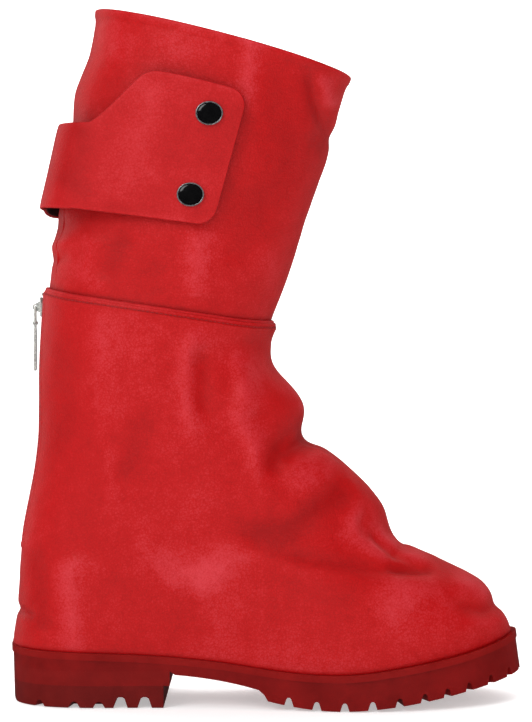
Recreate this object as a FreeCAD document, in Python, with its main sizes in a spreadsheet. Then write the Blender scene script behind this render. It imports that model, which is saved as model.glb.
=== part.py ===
"""A soft, slouching mid-calf boot for the right foot: a loose lower leg over the foot, a tilted shaft above it,
a curved back zip, a wrap strap closed by two press studs, and a lugged rubber sole with a low block heel.

Millimetres. +X runs to the toe, +Y to the inner (medial) side, +Z up; the ground is Z = 0 and the origin lies under
the middle of the boot's box. The shaft parts are drawn upright in a shaft frame that leans forward about Y.
The zip parts are drawn in a track frame, whose Y axis is the centre of the arc that the zip follows.
"""

import FreeCAD, Part
import math
import os

from FreeCAD import Placement, Rotation, Vector

doc = FreeCAD.newDocument("Boot")

# ---------------------------------------------------------------------------------------------------------------
# Driving dimensions
# ---------------------------------------------------------------------------------------------------------------

SIZES = {
    # sole
    "sole_length": 287.8,
    "sole_half_width": 51.0,
    "sole_lean": 5.4,
    "seat_shortening": 3.5,
    "sole_lean_height": 40.0,
    "toe_swing": 8.0,
    "welt_thickness": 4.0,
    "welt_proud": 0.7,
    "welt_width": 9.0,
    "heel_length": 91.0,
    "breast_step": 3.4,
    "heel_corner": 3.0,
    "heel_seat_height": 20.0,
    "lift_height": 12.0,
    "tread_depth": 4.5,
    "tread_pitch": 15.2,
    "heel_tread_depth": 5.8,
    "heel_notch_depth": 3.4,
    "heel_tread_pitch": 13.3,
    "lug_row_width": 17.0,
    "channel_width": 5.0,
    # upper
    "leather": 1.8,
    "lining": 1.0,
    "layer_gap": 0.2,
    "stiffener": 1.0,
    "board_thickness": 2.4,
    "footbed_thickness": 4.5,
    "shaft_lean": 13.2,
    "facing_height": 30.0,
    "piping_radius": 1.2,
    # zip
    "track_radius": 563.0,
    "track_centre_x": -687.9,
    "track_centre_z": 200.9,
    "tape_thickness": 0.5,
    "tape_width": 11.0,
    "tooth_length": 2.7,
    "tooth_height": 1.3,
    "tooth_thickness": 2.0,
    "tooth_pitch": 2.6,
    "chain_gap": 1.1,
    "zip_slot": 12.6,
    "slider_width": 9.6,
    "slider_length": 11.0,
    "slider_plate": 1.1,
    "slider_web": 0.7,
    "puller_length": 27.0,
    "puller_width": 5.0,
    "puller_thickness": 1.3,
    "link_wire": 0.6,
    # strap and press studs
    "strap_leather": 1.6,
    "strap_lining": 0.8,
    "cap_radius": 7.5,
    "stud_radius": 2.6,
    "stud_spacing": 45.0,
    "socket_radius": 5.6,
    "nail_radius": 1.0,
    "nail_length": 17.0,
}

sheet = doc.addObject("Spreadsheet::Sheet", "Sizes")
for row, (alias, value) in enumerate(SIZES.items(), start=1):
    sheet.set(f"A{row}", alias)
    sheet.set(f"B{row}", str(value))
    sheet.setAlias(f"B{row}", alias)
doc.recompute()


def size(alias):
    """A driving dimension, read back from the sheet."""
    return float(sheet.get(alias))


# Side profile of the sole, as (x, z) points of smooth lines
FEATHER_LINE = [
    (-152, 31.9), (-110, 30.3), (-64, 28.5), (-28, 25.4), (11, 20.7), (34, 19.5),
    (52, 20.2), (71, 22.7), (92, 26.0), (112, 29.8), (130, 34.4), (152, 41.5),
]
WAIST_LINE = [(-50.0, 18.0), (-27.6, 15.4), (-14.0, 12.9), (-4.0, 10.6)]
TREAD_LINE = [(1.0, 4.6), (19.0, 1.4), (38.0, 0.0), (60.0, 1.0), (90.0, 5.0), (118.0, 10.4), (136.0, 14.4), (152.0, 18.6)]

# Turns of the grooves that cross the sole's edge, from the back of the heel (0) to the toe (pi)
TOE_GROOVE_TURNS = (2.08, 2.195, 2.31, 2.436, 2.59, 2.78, 3.02)
HEEL_GROOVE_TURNS = (0.855, 0.72, 0.48)

# How full the sole's plan is, against an ellipse, from the back of the heel (0) to the toe (1)
LATERAL_FULLNESS = [(0.0, 1.40), (0.05, 1.27), (0.13, 1.06), (0.25, 0.83), (0.40, 0.775), (0.50, 0.88), (0.65, 1.09),
                    (0.75, 1.19), (0.85, 1.25), (0.93, 1.29), (1.0, 1.35)]
MEDIAL_FULLNESS = [(0.0, 1.40), (0.05, 1.27), (0.13, 1.06), (0.25, 0.80), (0.40, 0.62), (0.50, 0.67), (0.65, 0.88),
                   (0.75, 1.05), (0.85, 1.20), (0.93, 1.28), (1.0, 1.35)]

# Rings of the lower leg from the sole to the shaft seam: back x, z; front x, z; half widths; share of ankle oval
LEG_RINGS = [
    (-141.8, 8.0, 141.0, 24.0, 48.5, 48.5, 0.0),
    (-142.6, 34.0, 138.4, 40.5, 48.5, 48.0, 0.0),
    (-140.4, 52.0, 132.0, 52.0, 47.5, 46.5, 0.05),
    (-139.4, 66.0, 121.5, 66.0, 45.5, 44.5, 0.15),
    (-139.0, 80.0, 100.0, 78.0, 43.5, 43.0, 0.30),
    (-137.2, 97.0, 76.5, 91.0, 42.5, 42.0, 0.50),
    (-134.0, 114.0, 64.0, 110.0, 42.0, 41.5, 0.70),
    (-130.8, 131.0, 46.0, 131.0, 41.5, 41.0, 0.85),
    (-128.8, 149.0, 25.0, 149.0, 41.5, 41.0, 1.0),
    (-128.4, 168.0, 18.6, 168.0, 42.0, 41.5, 1.0),
    (-128.2, 187.0, 6.0, 187.0, 43.0, 42.5, 1.0),
    (-127.2, 207.0, 4.5, 200.0, 44.2, 44.0, 1.0),
    (-125.7, 230.5, 6.7, 210.0, 45.2, 45.2, 1.0),
    (-124.4, 244.0, 8.2, 222.0, 45.8, 45.8, 1.0),
]
LEG_TOP_BACK = (-125.7, 229.4)
LEG_TOP_FRONT = (6.7, 209.6)

# Ovals of the shaft in its own frame: height, back, front, half width
SHAFT_OVALS = [
    (180.0, -171.6, -47.6, 41.4), (200.0, -172.2, -46.6, 42.0), (222.0, -175.2, -43.8, 43.8), (245.0, -176.8, -41.5, 45.0),
    (270.0, -178.2, -39.5, 46.2), (288.0, -179.8, -37.5, 47.2), (308.0, -182.9, -35.5, 48.2), (332.0, -180.0, -35.5, 49.3),
    (362.0, -181.8, -32.6, 50.6),
]
SHAFT_TOP_BACK = 355.0
SHAFT_TOP_FRONT = 351.0
SHAFT_TUCK = 8.0

HALF_SPACE = 90.0
FAR = 260.0

# ---------------------------------------------------------------------------------------------------------------
# Curves shared by several parts
# ---------------------------------------------------------------------------------------------------------------


def smooth_value(points, at):
    """The value at a place along (place, value) points, on a curve with no corners."""
    k = max(i for i in range(len(points) - 1) if points[i][0] <= at or i == 0)
    x0, y0 = points[k]
    x1, y1 = points[k + 1]

    def slope(i):
        low, high = max(i - 1, 0), min(i + 1, len(points) - 1)
        return (points[high][1] - points[low][1]) / (points[high][0] - points[low][0])

    span = x1 - x0
    t = (at - x0) / span
    return (
        (2 * t**3 - 3 * t**2 + 1) * y0 + (t**3 - 2 * t**2 + t) * span * slope(k)
        + (3 * t**2 - 2 * t**3) * y1 + (t**3 - t**2) * span * slope(k + 1)
    )


def oval_turns(count):
    """Angles round a ring, from the back of the heel by the outer side to the toe and back."""
    return [2 * math.pi * i / count for i in range(count)]


def foot_width(turn, share_of_oval):
    """Half width of a ring at one turn, as a share of its full half width, blended from foot to plain oval."""
    along = 0.5 - 0.5 * math.cos(turn)
    table = LATERAL_FULLNESS if math.sin(turn) <= 0 else MEDIAL_FULLNESS
    fullness = smooth_value(table, along)
    return math.sin(turn) * (fullness * (1 - share_of_oval) + share_of_oval)


def plan_point(turn, inset, shift, shorter=0.0):
    """A point of the sole's plan outline, drawn in by inset, shortened at the back and moved along X by shift."""
    along = 0.5 - 0.5 * math.cos(turn)
    shift += shorter / 2
    half_length = size("sole_length") / 2 - inset - shorter / 2
    width = (size("sole_half_width") - inset) * foot_width(turn, 0.0)
    return Vector(shift + half_length * (2 * along - 1), width + size("toe_swing") * along**2, 0)


def closed_curve(points):
    """A smooth closed curve through points."""
    curve = Part.BSplineCurve()
    curve.interpolate(Points=points, PeriodicFlag=True)
    return curve


def open_curve(points):
    """A smooth open curve through points."""
    curve = Part.BSplineCurve()
    curve.interpolate(points)
    return curve


def side_points(line, lift=0.0):
    """(x, z) pairs as points of the XZ plane, raised by lift."""
    return [Vector(x, 0, z + lift) for x, z in line]


def side_slab(bottom, top, y_low, y_high):
    """The solid between two side lines, from y_low to y_high; each line is a list of edges from heel to toe."""
    joined_start = Part.LineSegment(bottom[0].Vertexes[0].Point, top[0].Vertexes[0].Point).toShape()
    joined_end = Part.LineSegment(bottom[-1].Vertexes[-1].Point, top[-1].Vertexes[-1].Point).toShape()
    edges = bottom + [joined_end] + top + [joined_start]
    face = Part.Face(Part.Wire(Part.__sortEdges__(edges)))
    face.translate(Vector(0, y_low, 0))
    return face.extrude(Vector(0, y_high - y_low, 0))


def feather_edge(lift):
    """The sole's top line, raised by lift."""
    return [open_curve(side_points(FEATHER_LINE, lift)).toShape()]


def sole_layer(low, high):
    """The slab between two heights above the feather line."""
    return side_slab(feather_edge(low), feather_edge(high), -HALF_SPACE, HALF_SPACE)


def straight(*points):
    """Straight edges through (x, z) points."""
    corners = side_points(points)
    return [Part.LineSegment(a, b).toShape() for a, b in zip(corners, corners[1:])]


def loft(wires):
    """A smooth solid through closed wires."""
    return Part.makeLoft(wires, True, False, False, 3)


# ---------------------------------------------------------------------------------------------------------------
# Document helpers
# ---------------------------------------------------------------------------------------------------------------

parts = []


def keep(obj, label):
    """Names a finished sub-part and puts it on the list of files to write."""
    obj.Label = label
    parts.append(obj)
    return obj


def shape_part(label, shape, placement=None):
    """A sub-part whose shape comes from Part's own functions."""
    obj = doc.addObject("Part::Feature", label)
    obj.Shape = shape
    if placement is not None:
        obj.Placement = placement
    return keep(obj, label)


def new_body(name, placement=None):
    body = doc.addObject("PartDesign::Body", name)
    if placement is not None:
        body.Placement = placement
    return body


def new_sketch(body, role, name, offset=0.0):
    """A sketch on one of the body's own origin planes, moved along its normal."""
    plane = [f for f in body.Origin.OriginFeatures if f.Role == role][0]
    sketch = body.newObject("Sketcher::SketchObject", name)
    sketch.AttachmentSupport = (plane, [""])
    sketch.MapMode = "FlatFace"
    sketch.AttachmentOffset = Placement(Vector(0, 0, offset), Rotation())
    return sketch


def draw_polygon(sketch, points):
    corners = [Vector(x, y, 0) for x, y in points]
    for a, b in zip(corners, corners[1:] + corners[:1]):
        sketch.addGeometry(Part.LineSegment(a, b), False)


def draw_rectangle(sketch, x_low, y_low, x_high, y_high):
    draw_polygon(sketch, [(x_low, y_low), (x_high, y_low), (x_high, y_high), (x_low, y_high)])


def draw_circle(sketch, x, y, radius):
    sketch.addGeometry(Part.Circle(Vector(x, y, 0), Vector(0, 0, 1), radius), False)


def pad(body, sketch, name, length, midplane=False):
    """A pad whose length is an expression on the sheet, or a plain number."""
    feature = body.newObject("PartDesign::Pad", name)
    feature.Profile = sketch
    feature.Midplane = midplane
    if isinstance(length, str):
        feature.setExpression("Length", length)
    else:
        feature.Length = length
    sketch.Visibility = False
    doc.recompute()
    return feature


def pocket_through(body, sketch, name):
    feature = body.newObject("PartDesign::Pocket", name)
    feature.Profile = sketch
    feature.Type = 1
    feature.Midplane = True
    doc.recompute()
    return feature


def revolve(body, sketch, name, axis_name, angle=360.0, midplane=False):
    """A revolution about one of the body's own axes."""
    axis = [f for f in body.Origin.OriginFeatures if f.Role == axis_name][0]
    feature = body.newObject("PartDesign::Revolution", name)
    feature.Profile = sketch
    feature.ReferenceAxis = (axis, [""])
    feature.Angle = angle
    feature.Midplane = midplane
    doc.recompute()
    return feature


def boolean(kind, name, *objects):
    """A Part boolean of two or more objects."""
    if kind == "Cut":
        obj = doc.addObject("Part::Cut", name)
        obj.Base, obj.Tool = objects
    else:
        obj = doc.addObject("Part::Multi" + kind, name)
        obj.Shapes = list(objects)
    doc.recompute()
    return obj


def helper(name, shape):
    """A construction shape that other objects use."""
    obj = doc.addObject("Part::Feature", name)
    obj.Shape = shape
    return obj


def compound(label, objects):
    obj = doc.addObject("Part::Compound", label)
    obj.Links = objects
    doc.recompute()
    return keep(obj, label)


# ---------------------------------------------------------------------------------------------------------------
# Sole
# ---------------------------------------------------------------------------------------------------------------


def sole_prism(name, inset):
    """The sole's plan as a loft that leans forward towards the ground, drawn in by inset."""
    body = new_body(name)
    sections = []
    lean = size("sole_lean")
    for level, shift, shorter in ((-1.0, lean / 2 + 0.2, -0.8), (size("sole_lean_height"), -lean / 2, size("seat_shortening"))):
        sketch = new_sketch(body, "XY_Plane", f"{name}_at_{len(sections)}", level)
        sketch.addGeometry(closed_curve([plan_point(t, inset, shift, shorter) for t in oval_turns(44)]), False)
        sections.append(sketch)
    doc.recompute()
    feature = body.newObject("PartDesign::AdditiveLoft", name + "_loft")
    feature.Profile = sections[0]
    feature.Sections = [sections[1]]
    feature.Ruled = True
    doc.recompute()
    return body


def groove(place, direction, length, depth, bottom_width, top_width):
    """A tapered tread groove: its middle on the ground line, the way it runs, and its section."""
    half_low, half_high = bottom_width / 2, top_width / 2
    below = 3.0
    spread = (half_low - half_high) * (depth + below) / depth
    corners = [(-half_high - spread, -below), (-half_high, depth - 0.8), (-half_high * 0.45, depth),
               (half_high * 0.45, depth), (half_high, depth - 0.8), (half_high + spread, -below)]
    section = Part.Face(Part.makePolygon([Vector(x, 0, z) for x, z in corners + corners[:1]]))
    tool = section.extrude(Vector(0, length, 0))
    tool.translate(Vector(0, -length / 2, 0))
    turn = math.degrees(math.atan2(-direction[0], direction[1]))
    tool.rotate(Vector(0, 0, 0), Vector(0, 0, 1), turn)
    tool.translate(place)
    return tool


def edge_grooves(turns, length, level, depth, bottom_width, top_width):
    """Grooves that cross the sole's edge at right angles, at turns round it."""
    tools = []
    for turn in turns:
        point = plan_point(turn, 0.0, size("sole_lean") / 2)
        ahead = plan_point(turn + 0.01, 0.0, size("sole_lean") / 2) - point
        across = Vector(-ahead.y, ahead.x, 0).normalize()
        place = Vector(point.x, point.y, level(point.x))
        tools.append(groove(place, (across.x, across.y), length, depth, bottom_width, top_width))
    return tools


def tread_level(x):
    return smooth_value(TREAD_LINE, min(max(x, TREAD_LINE[0][0]), TREAD_LINE[-1][0]))


def flat_level(_x):
    return 0.0


nails = []
for i in range(5):
    turn = math.radians(72 * i + 36)
    x, y = -104.0 + 20.0 * math.cos(turn), 18.0 * math.sin(turn)
    top = smooth_value(FEATHER_LINE, x) + size("board_thickness") - 0.3
    head = doc.addObject("Part::Cylinder", f"nail_head_{i}")
    head.setExpression("Radius", "Sizes.nail_radius * 2")
    head.Height = 0.8
    head.Placement = Placement(Vector(x, y, top - 0.8), Rotation())
    stem = doc.addObject("Part::Cylinder", f"nail_stem_{i}")
    stem.setExpression("Radius", "Sizes.nail_radius")
    stem.setExpression("Height", "Sizes.nail_length")
    stem.Placement = Placement(Vector(x, y, top - 0.5 - size("nail_length")), Rotation())
    nails.append(boolean("Fuse", f"nail_{i}", head, stem))
heel_nails = compound("heel_nails", nails)

breast_x = size("heel_length") - size("sole_length") / 2
plan_full = sole_prism("plan_full", 0.0)
plan_welt = sole_prism("plan_welt", -size("welt_proud"))
plan_welt_inner = sole_prism("plan_welt_inner", size("welt_width"))
plan_lug_inner = sole_prism("plan_lug_inner", size("lug_row_width"))
plan_channel_inner = sole_prism("plan_channel_inner", size("lug_row_width") + size("channel_width"))

outsole_bottom = (
    straight((-152.0, size("heel_seat_height")), (breast_x + 0.05, size("heel_seat_height")), WAIST_LINE[0])
    + [open_curve(side_points(WAIST_LINE)).toShape()]
    + straight(WAIST_LINE[-1], (-1.0, 8.0), TREAD_LINE[0])
    + [open_curve(side_points(TREAD_LINE)).toShape()]
)
outsole_side = helper("outsole_side", side_slab(outsole_bottom, feather_edge(-size("welt_thickness")), -HALF_SPACE, HALF_SPACE))
outsole_block = boolean("Common", "outsole_block", plan_full, outsole_side)

fore_tools = [
    groove(Vector(12.4 + i * size("tread_pitch"), 0, tread_level(12.4 + i * size("tread_pitch"))), (0, 1), 130.0,
           size("tread_depth"), 5.2, 2.6)
    for i in range(4)
]
toe_turns = [side * turn for turn in TOE_GROOVE_TURNS for side in (-1, 1)]
toe_tools = edge_grooves(toe_turns, 2 * size("lug_row_width"), tread_level, size("tread_depth"), 5.0, 2.6)
centre_tools = [
    groove(Vector(x, 4.0, tread_level(x)), (0, 1), 36.0, size("tread_depth"), 5.0, 2.6) for x in (73.0, 88.0, 103.0)
]
tread_tools = helper("tread_tools", Part.makeCompound(fore_tools + toe_tools + centre_tools))

channel_bottom = [open_curve(side_points(TREAD_LINE, -4.0)).toShape()]
channel_top = [open_curve(side_points(TREAD_LINE, size("tread_depth") - 0.9)).toShape()]
channel_side = helper("channel_side", side_slab(channel_bottom, channel_top, -HALF_SPACE, HALF_SPACE))
channel_ring = boolean("Cut", "channel_ring", plan_lug_inner, plan_channel_inner)
channel = boolean("Common", "channel", channel_ring, channel_side)
outsole_channelled = boolean("Cut", "outsole_channelled", outsole_block, channel)
outsole_lugged = boolean("Cut", "outsole_lugged", outsole_channelled, tread_tools)
keep(boolean("Cut", "outsole_nailed", outsole_lugged, heel_nails), "outsole")

block_side = helper("block_side", Part.makeBox(
    98.0, 2 * HALF_SPACE, size("heel_seat_height") - size("lift_height"),
    Vector(breast_x - 98.0, -HALF_SPACE, size("lift_height"))))
block_cut = boolean("Common", "block_cut", plan_full, block_side)
keep(boolean("Cut", "block_nailed", block_cut, heel_nails), "heel_block")

lift_breast, corner = breast_x - size("breast_step"), size("heel_corner")
corner_x = -size("sole_length") / 2 + size("sole_lean") / 2 - 0.4
corner_arc = Part.Arc(Vector(corner_x, 0, corner), Vector(corner_x + corner * 0.293, 0, corner * 0.293),
                      Vector(corner_x + corner, 0, 0)).toShape()
lift_side = helper("lift_side", side_slab(
    straight((-152.0, corner), (corner_x, corner)) + [corner_arc] + straight((corner_x + corner, 0.0), (lift_breast, 0.0)),
    straight((-152.0, size("lift_height")), (lift_breast, size("lift_height"))), -HALF_SPACE, HALF_SPACE))
lift_block = boolean("Common", "lift_block", plan_full, lift_side)
through_tools = [
    groove(Vector(-66.6 - i * size("heel_tread_pitch"), 0, 0), (0, 1), 120.0, size("heel_tread_depth"), 8.0, 4.4)
    for i in range(2)
]
heel_turns = [side * turn for turn in HEEL_GROOVE_TURNS for side in (-1, 1)]
heel_tools = edge_grooves(heel_turns, 26.0, flat_level, size("heel_notch_depth"), 7.0, 3.4)
lift_tools = helper("lift_tools", Part.makeCompound(through_tools + heel_tools))
keep(boolean("Cut", "lift_lugged", lift_block, lift_tools), "heel_top_lift")

welt_side = helper("welt_side", sole_layer(-size("welt_thickness"), 0.0))
welt_block = boolean("Common", "welt_block", plan_welt, welt_side)
keep(boolean("Cut", "welt_ring", welt_block, plan_welt_inner), "welt")

midsole_side = helper("midsole_side", sole_layer(-size("welt_thickness"), -0.05))
midsole_block = boolean("Common", "midsole_block", plan_welt_inner, midsole_side)

# ---------------------------------------------------------------------------------------------------------------
# Lower leg: rings that fan from the sole over the foot to the shaft seam
# ---------------------------------------------------------------------------------------------------------------


def ring_normal(index, at):
    """The way out of the leg at the back (at = 0) or front (at = 2) of a ring, in the XZ plane."""
    low, high = LEG_RINGS[max(index - 1, 0)], LEG_RINGS[min(index + 1, len(LEG_RINGS) - 1)]
    along_x, along_z = high[at] - low[at], high[at + 1] - low[at + 1]
    length = math.hypot(along_x, along_z)
    out = 1.0 if at == 2 else -1.0
    return out * along_z / length, -out * along_x / length


def leg_ring(index, inset, count=36):
    """One ring of the lower leg as a closed wire, drawn in by inset."""
    ring = LEG_RINGS[index]
    back_x, back_z, front_x, front_z, lateral, medial, oval = ring
    out_back, out_front = ring_normal(index, 0), ring_normal(index, 2)
    back = Vector(back_x - inset * out_back[0], 0, back_z - inset * out_back[1])
    front = Vector(front_x - inset * out_front[0], 0, front_z - inset * out_front[1])
    points = []
    for turn in oval_turns(count):
        along = 0.5 - 0.5 * math.cos(turn)
        half = (lateral if math.sin(turn) <= 0 else medial) - inset
        swing = size("toe_swing") * along**2 * (1 - oval)
        point = back + (front - back) * along
        points.append(Vector(point.x, half * foot_width(turn, oval) + swing, point.z))
    return Part.Wire([closed_curve(points).toShape()])


def leg_solid(inset):
    """Everything inside the lower leg's outer face, drawn in by inset."""
    return loft([leg_ring(i, inset) for i in range(len(LEG_RINGS))])


def leg_space(bottom_lift, top_drop, y_low, y_high):
    """The space from the feather line to the shaft seam, as a slab across the leg."""
    slope = (LEG_TOP_FRONT[1] - LEG_TOP_BACK[1]) / (LEG_TOP_FRONT[0] - LEG_TOP_BACK[0])

    def top_at(x):
        return (x, LEG_TOP_BACK[1] + slope * (x - LEG_TOP_BACK[0]) - top_drop)

    return side_slab(feather_edge(bottom_lift), straight(top_at(FEATHER_LINE[0][0]), top_at(FEATHER_LINE[-1][0])), y_low, y_high)


leather, gap, lining = size("leather"), size("layer_gap"), size("lining")
stiffener_inset = leather + gap
lining_inset = stiffener_inset + size("stiffener") + gap
board_inset = lining_inset + lining + gap
leg_outer = leg_solid(0.0)
leg_inner = leg_solid(leather)
leg_skin = leg_outer.cut(leg_inner)

ZIP_TOP = 250.0
ZIP_BOTTOM = 88.0


def back_slot(half_width, bottom):
    """A slot down the back for the zip."""
    return Part.makeBox(70.0, 2 * half_width, ZIP_TOP - bottom, Vector(-160.0, -half_width, bottom))


zip_slot = back_slot(size("zip_slot") / 2, ZIP_BOTTOM)
for label, y_low, y_high in (("leg_lateral", -HALF_SPACE, 0.0), ("leg_medial", 0.0, HALF_SPACE)):
    shape_part(label, leg_skin.common(leg_space(0.0, 0.0, y_low, y_high)).cut(zip_slot))

lining_skin = leg_solid(lining_inset).cut(leg_solid(lining_inset + lining))
lining_slot = back_slot(15.0, ZIP_BOTTOM - 6.0)
shape_part("leg_lining", lining_skin.common(leg_space(0.0, 9.0, -HALF_SPACE, HALF_SPACE)).cut(lining_slot))

stiffener_skin = leg_solid(stiffener_inset).cut(leg_solid(stiffener_inset + size("stiffener")))
counter_space = side_slab(feather_edge(0.0), straight((-152.0, 70.0), (-112.0, 68.0), (-62.0, 38.0), (152.0, 38.0)),
                          -HALF_SPACE, HALF_SPACE).common(
    Part.makeBox(92.0, 2 * HALF_SPACE, 90.0, Vector(-154.0, -HALF_SPACE, 0)))
shape_part("heel_counter", stiffener_skin.common(counter_space))
puff_space = Part.makeBox(60.0, 2 * HALF_SPACE, 90.0, Vector(98.0, -HALF_SPACE, 0)).common(
    leg_space(0.0, 0.0, -HALF_SPACE, HALF_SPACE))
shape_part("toe_puff", stiffener_skin.common(puff_space))

board_core = leg_solid(board_inset)
board_low, board_high = 0.0, size("board_thickness")
shape_part("insole_board", board_core.common(sole_layer(board_low, board_high)).cut(heel_nails.Shape))
footbed_core = leg_solid(board_inset + 0.3)
shape_part("footbed", footbed_core.common(sole_layer(board_high + 0.05, board_high + size("footbed_thickness"))))

# ---------------------------------------------------------------------------------------------------------------
# Shank and midsole
# ---------------------------------------------------------------------------------------------------------------

SHANK_START, SHANK_END = -84.0, 22.0
SHANK_HALF_WIDTH = 7.0
shank_space = Part.makeBox(SHANK_END - SHANK_START, 2 * SHANK_HALF_WIDTH, 60.0, Vector(SHANK_START, -SHANK_HALF_WIDTH, 0))
shank_layer = helper("shank_layer", sole_layer(-1.6, -0.4).common(shank_space))
shank_body = new_body("shank_body")
shank_sketch = new_sketch(shank_body, "XY_Plane", "shank_plan")
draw_polygon(shank_sketch, [(SHANK_START, -4.0), (SHANK_START + 4.0, -6.5), (SHANK_END - 4.0, -6.5), (SHANK_END, -4.0),
                            (SHANK_END, 4.0), (SHANK_END - 4.0, 6.5), (SHANK_START + 4.0, 6.5), (SHANK_START, 4.0)])
pad(shank_body, shank_sketch, "shank_pad", 60.0)
rivet_sketch = new_sketch(shank_body, "XY_Plane", "shank_holes")
for x in (SHANK_START + 9.0, SHANK_END - 9.0):
    draw_circle(rivet_sketch, x, 0.0, 1.8)
pocket_through(shank_body, rivet_sketch, "shank_hole_pocket")
keep(boolean("Common", "shank_plate", shank_body, shank_layer), "shank")

shank_bed = helper("shank_bed", sole_layer(-1.8, 2.0).common(Part.makeBox(
    SHANK_END - SHANK_START + 1.0, 2 * SHANK_HALF_WIDTH + 0.4, 60.0,
    Vector(SHANK_START - 0.5, -SHANK_HALF_WIDTH - 0.2, 0))))
midsole_bedded = boolean("Cut", "midsole_bedded", midsole_block, shank_bed)
keep(boolean("Cut", "midsole_nailed", midsole_bedded, heel_nails), "midsole")


# ---------------------------------------------------------------------------------------------------------------
# Shaft, in the leaning shaft frame
# ---------------------------------------------------------------------------------------------------------------

shaft_frame = Placement(Vector(0, 0, 0), Rotation(Vector(0, 1, 0), size("shaft_lean")))


def shaft_height_of(x, z):
    """Height in the shaft frame of a point of the boot's middle plane, and its place along the shaft's depth."""
    lean = math.radians(size("shaft_lean"))
    return x * math.cos(lean) - z * math.sin(lean), x * math.sin(lean) + z * math.cos(lean)


seam_back = shaft_height_of(*LEG_TOP_BACK)
seam_front = shaft_height_of(*LEG_TOP_FRONT)
seam_slope = (seam_front[1] - seam_back[1]) / (seam_front[0] - seam_back[0])


def seam_level(x):
    """Height of the leg's top edge in the shaft frame."""
    return seam_back[1] + seam_slope * (x - seam_back[0])


def shaft_solid(inset):
    """Everything inside the shaft's outer face, drawn in by inset."""
    wires = []
    for height, back, front, half_width in SHAFT_OVALS:
        oval = Part.Ellipse(Vector((back + front) / 2, 0, height), (front - back) / 2 - inset, half_width - inset)
        wires.append(Part.Wire([oval.toShape()]))
    return loft(wires)


def shaft_space(bottom_lift, top_drop, y_low, y_high):
    """The space between the tucked-in bottom edge and the top rim."""
    ends = (-200.0, -20.0)
    bottom = straight(*[(x, seam_level(x) - SHAFT_TUCK + bottom_lift) for x in ends])
    rise = (SHAFT_TOP_FRONT - SHAFT_TOP_BACK) / (SHAFT_OVALS[-1][2] - SHAFT_OVALS[-1][1])
    top = straight(*[(x, SHAFT_TOP_BACK + rise * (x - SHAFT_OVALS[-1][1]) - top_drop) for x in ends])
    return side_slab(bottom, top, y_low, y_high)


shaft_outer = shaft_solid(0.0)
shaft_skin = shaft_outer.cut(shaft_solid(leather))

STUD_X = -104.0
STUD_LOW = 264.0

def stud_heights():
    return [STUD_LOW, STUD_LOW + size("stud_spacing")]


def stud_hole(height, radius):
    return Part.makeCylinder(radius, 30.0, Vector(STUD_X, -62.0, height), Vector(0, 1, 0))


shaft_holes = Part.makeCompound([stud_hole(z, 2.2) for z in stud_heights()])
zip_notch = Part.makeBox(60.0, 30.0, 60.0, Vector(-200.0, -15.0, seam_back[1] + 1.8 - 60.0))
for label, y_low, y_high in (("shaft_lateral", -HALF_SPACE, 0.0), ("shaft_medial", 0.0, HALF_SPACE)):
    panel = shaft_skin.common(shaft_space(0.0, 0.0, y_low, y_high)).cut(zip_notch)
    if y_low < 0:
        panel = panel.cut(shaft_holes)
    shape_part(label, panel, shaft_frame)

facing_skin = shaft_solid(leather + gap).cut(shaft_solid(leather + gap + 1.2))
facing_bottom = SHAFT_TOP_FRONT - size("facing_height")
facing_space = shaft_space(0.0, 0.6, -HALF_SPACE, HALF_SPACE).common(
    Part.makeBox(220.0, 2 * HALF_SPACE, 60.0, Vector(-220.0, -HALF_SPACE, facing_bottom)))
shape_part("top_facing", facing_skin.common(facing_space), shaft_frame)

shaft_lining_skin = shaft_solid(leather + gap).cut(shaft_solid(leather + gap + lining))
lining_space = shaft_space(0.0, 0.0, -HALF_SPACE, HALF_SPACE).common(
    Part.makeBox(220.0, 2 * HALF_SPACE, facing_bottom - 0.1, Vector(-220.0, -HALF_SPACE, 0)))
shape_part("shaft_lining", shaft_lining_skin.common(lining_space).cut(zip_notch).cut(
    Part.makeCompound([stud_hole(z, 6.4) for z in stud_heights()])), shaft_frame)

# The piping lies round the shaft, just above the leg's top edge
piping_points = []
PIPING_RISE = 1.35
for turn in oval_turns(28):
    along = 0.5 - 0.5 * math.cos(turn)
    stand_off = size("piping_radius") + 0.25
    level_mid = seam_level(-109.0)
    a = 64.3 + stand_off
    x = -109.0 - a * math.cos(turn)
    piping_points.append(Vector(x, (42.9 + stand_off) * math.sin(turn), seam_level(x) + PIPING_RISE))
piping_path = Part.Wire([closed_curve(piping_points).toShape()])
piping_start = piping_path.Edges[0].valueAt(piping_path.Edges[0].FirstParameter)
piping_tangent = piping_path.Edges[0].tangentAt(piping_path.Edges[0].FirstParameter)
piping_section = Part.Wire([Part.Circle(piping_start, piping_tangent, size("piping_radius")).toShape()])
piping = piping_path.makePipeShell([piping_section], True, True)
shape_part("seam_piping", piping, shaft_frame)

# ---------------------------------------------------------------------------------------------------------------
# Strap: a fixed band from the inner side round the back, and the tab that opens on the outer side
# ---------------------------------------------------------------------------------------------------------------

STRAP_LOW, STRAP_HIGH = 228.0, 332.0
# The strap's outer face, seen along the shaft at its lowest level: (depth, half width)
LATERAL_PATH = [(-186.0, 0.0), (-186.0, 17.0), (-183.2, 29.5), (-174.6, 39.2), (-160.0, 45.2), (-138.0, 48.0),
                (-109.0, 49.0), (-80.0, 47.6)]
MEDIAL_PATH = [(-186.0, 0.0), (-186.0, 17.0), (-183.2, 29.0), (-174.6, 37.0), (-160.0, 42.2), (-138.0, 45.6),
               (-109.0, 46.9), (-80.0, 43.6)]
STRAP_SPREAD = 0.052
HINGE_X = -160.0
HINGE_GAP = 0.3
BAND_END = -70.0
BAND_OVERLAP = 5.0


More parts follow.
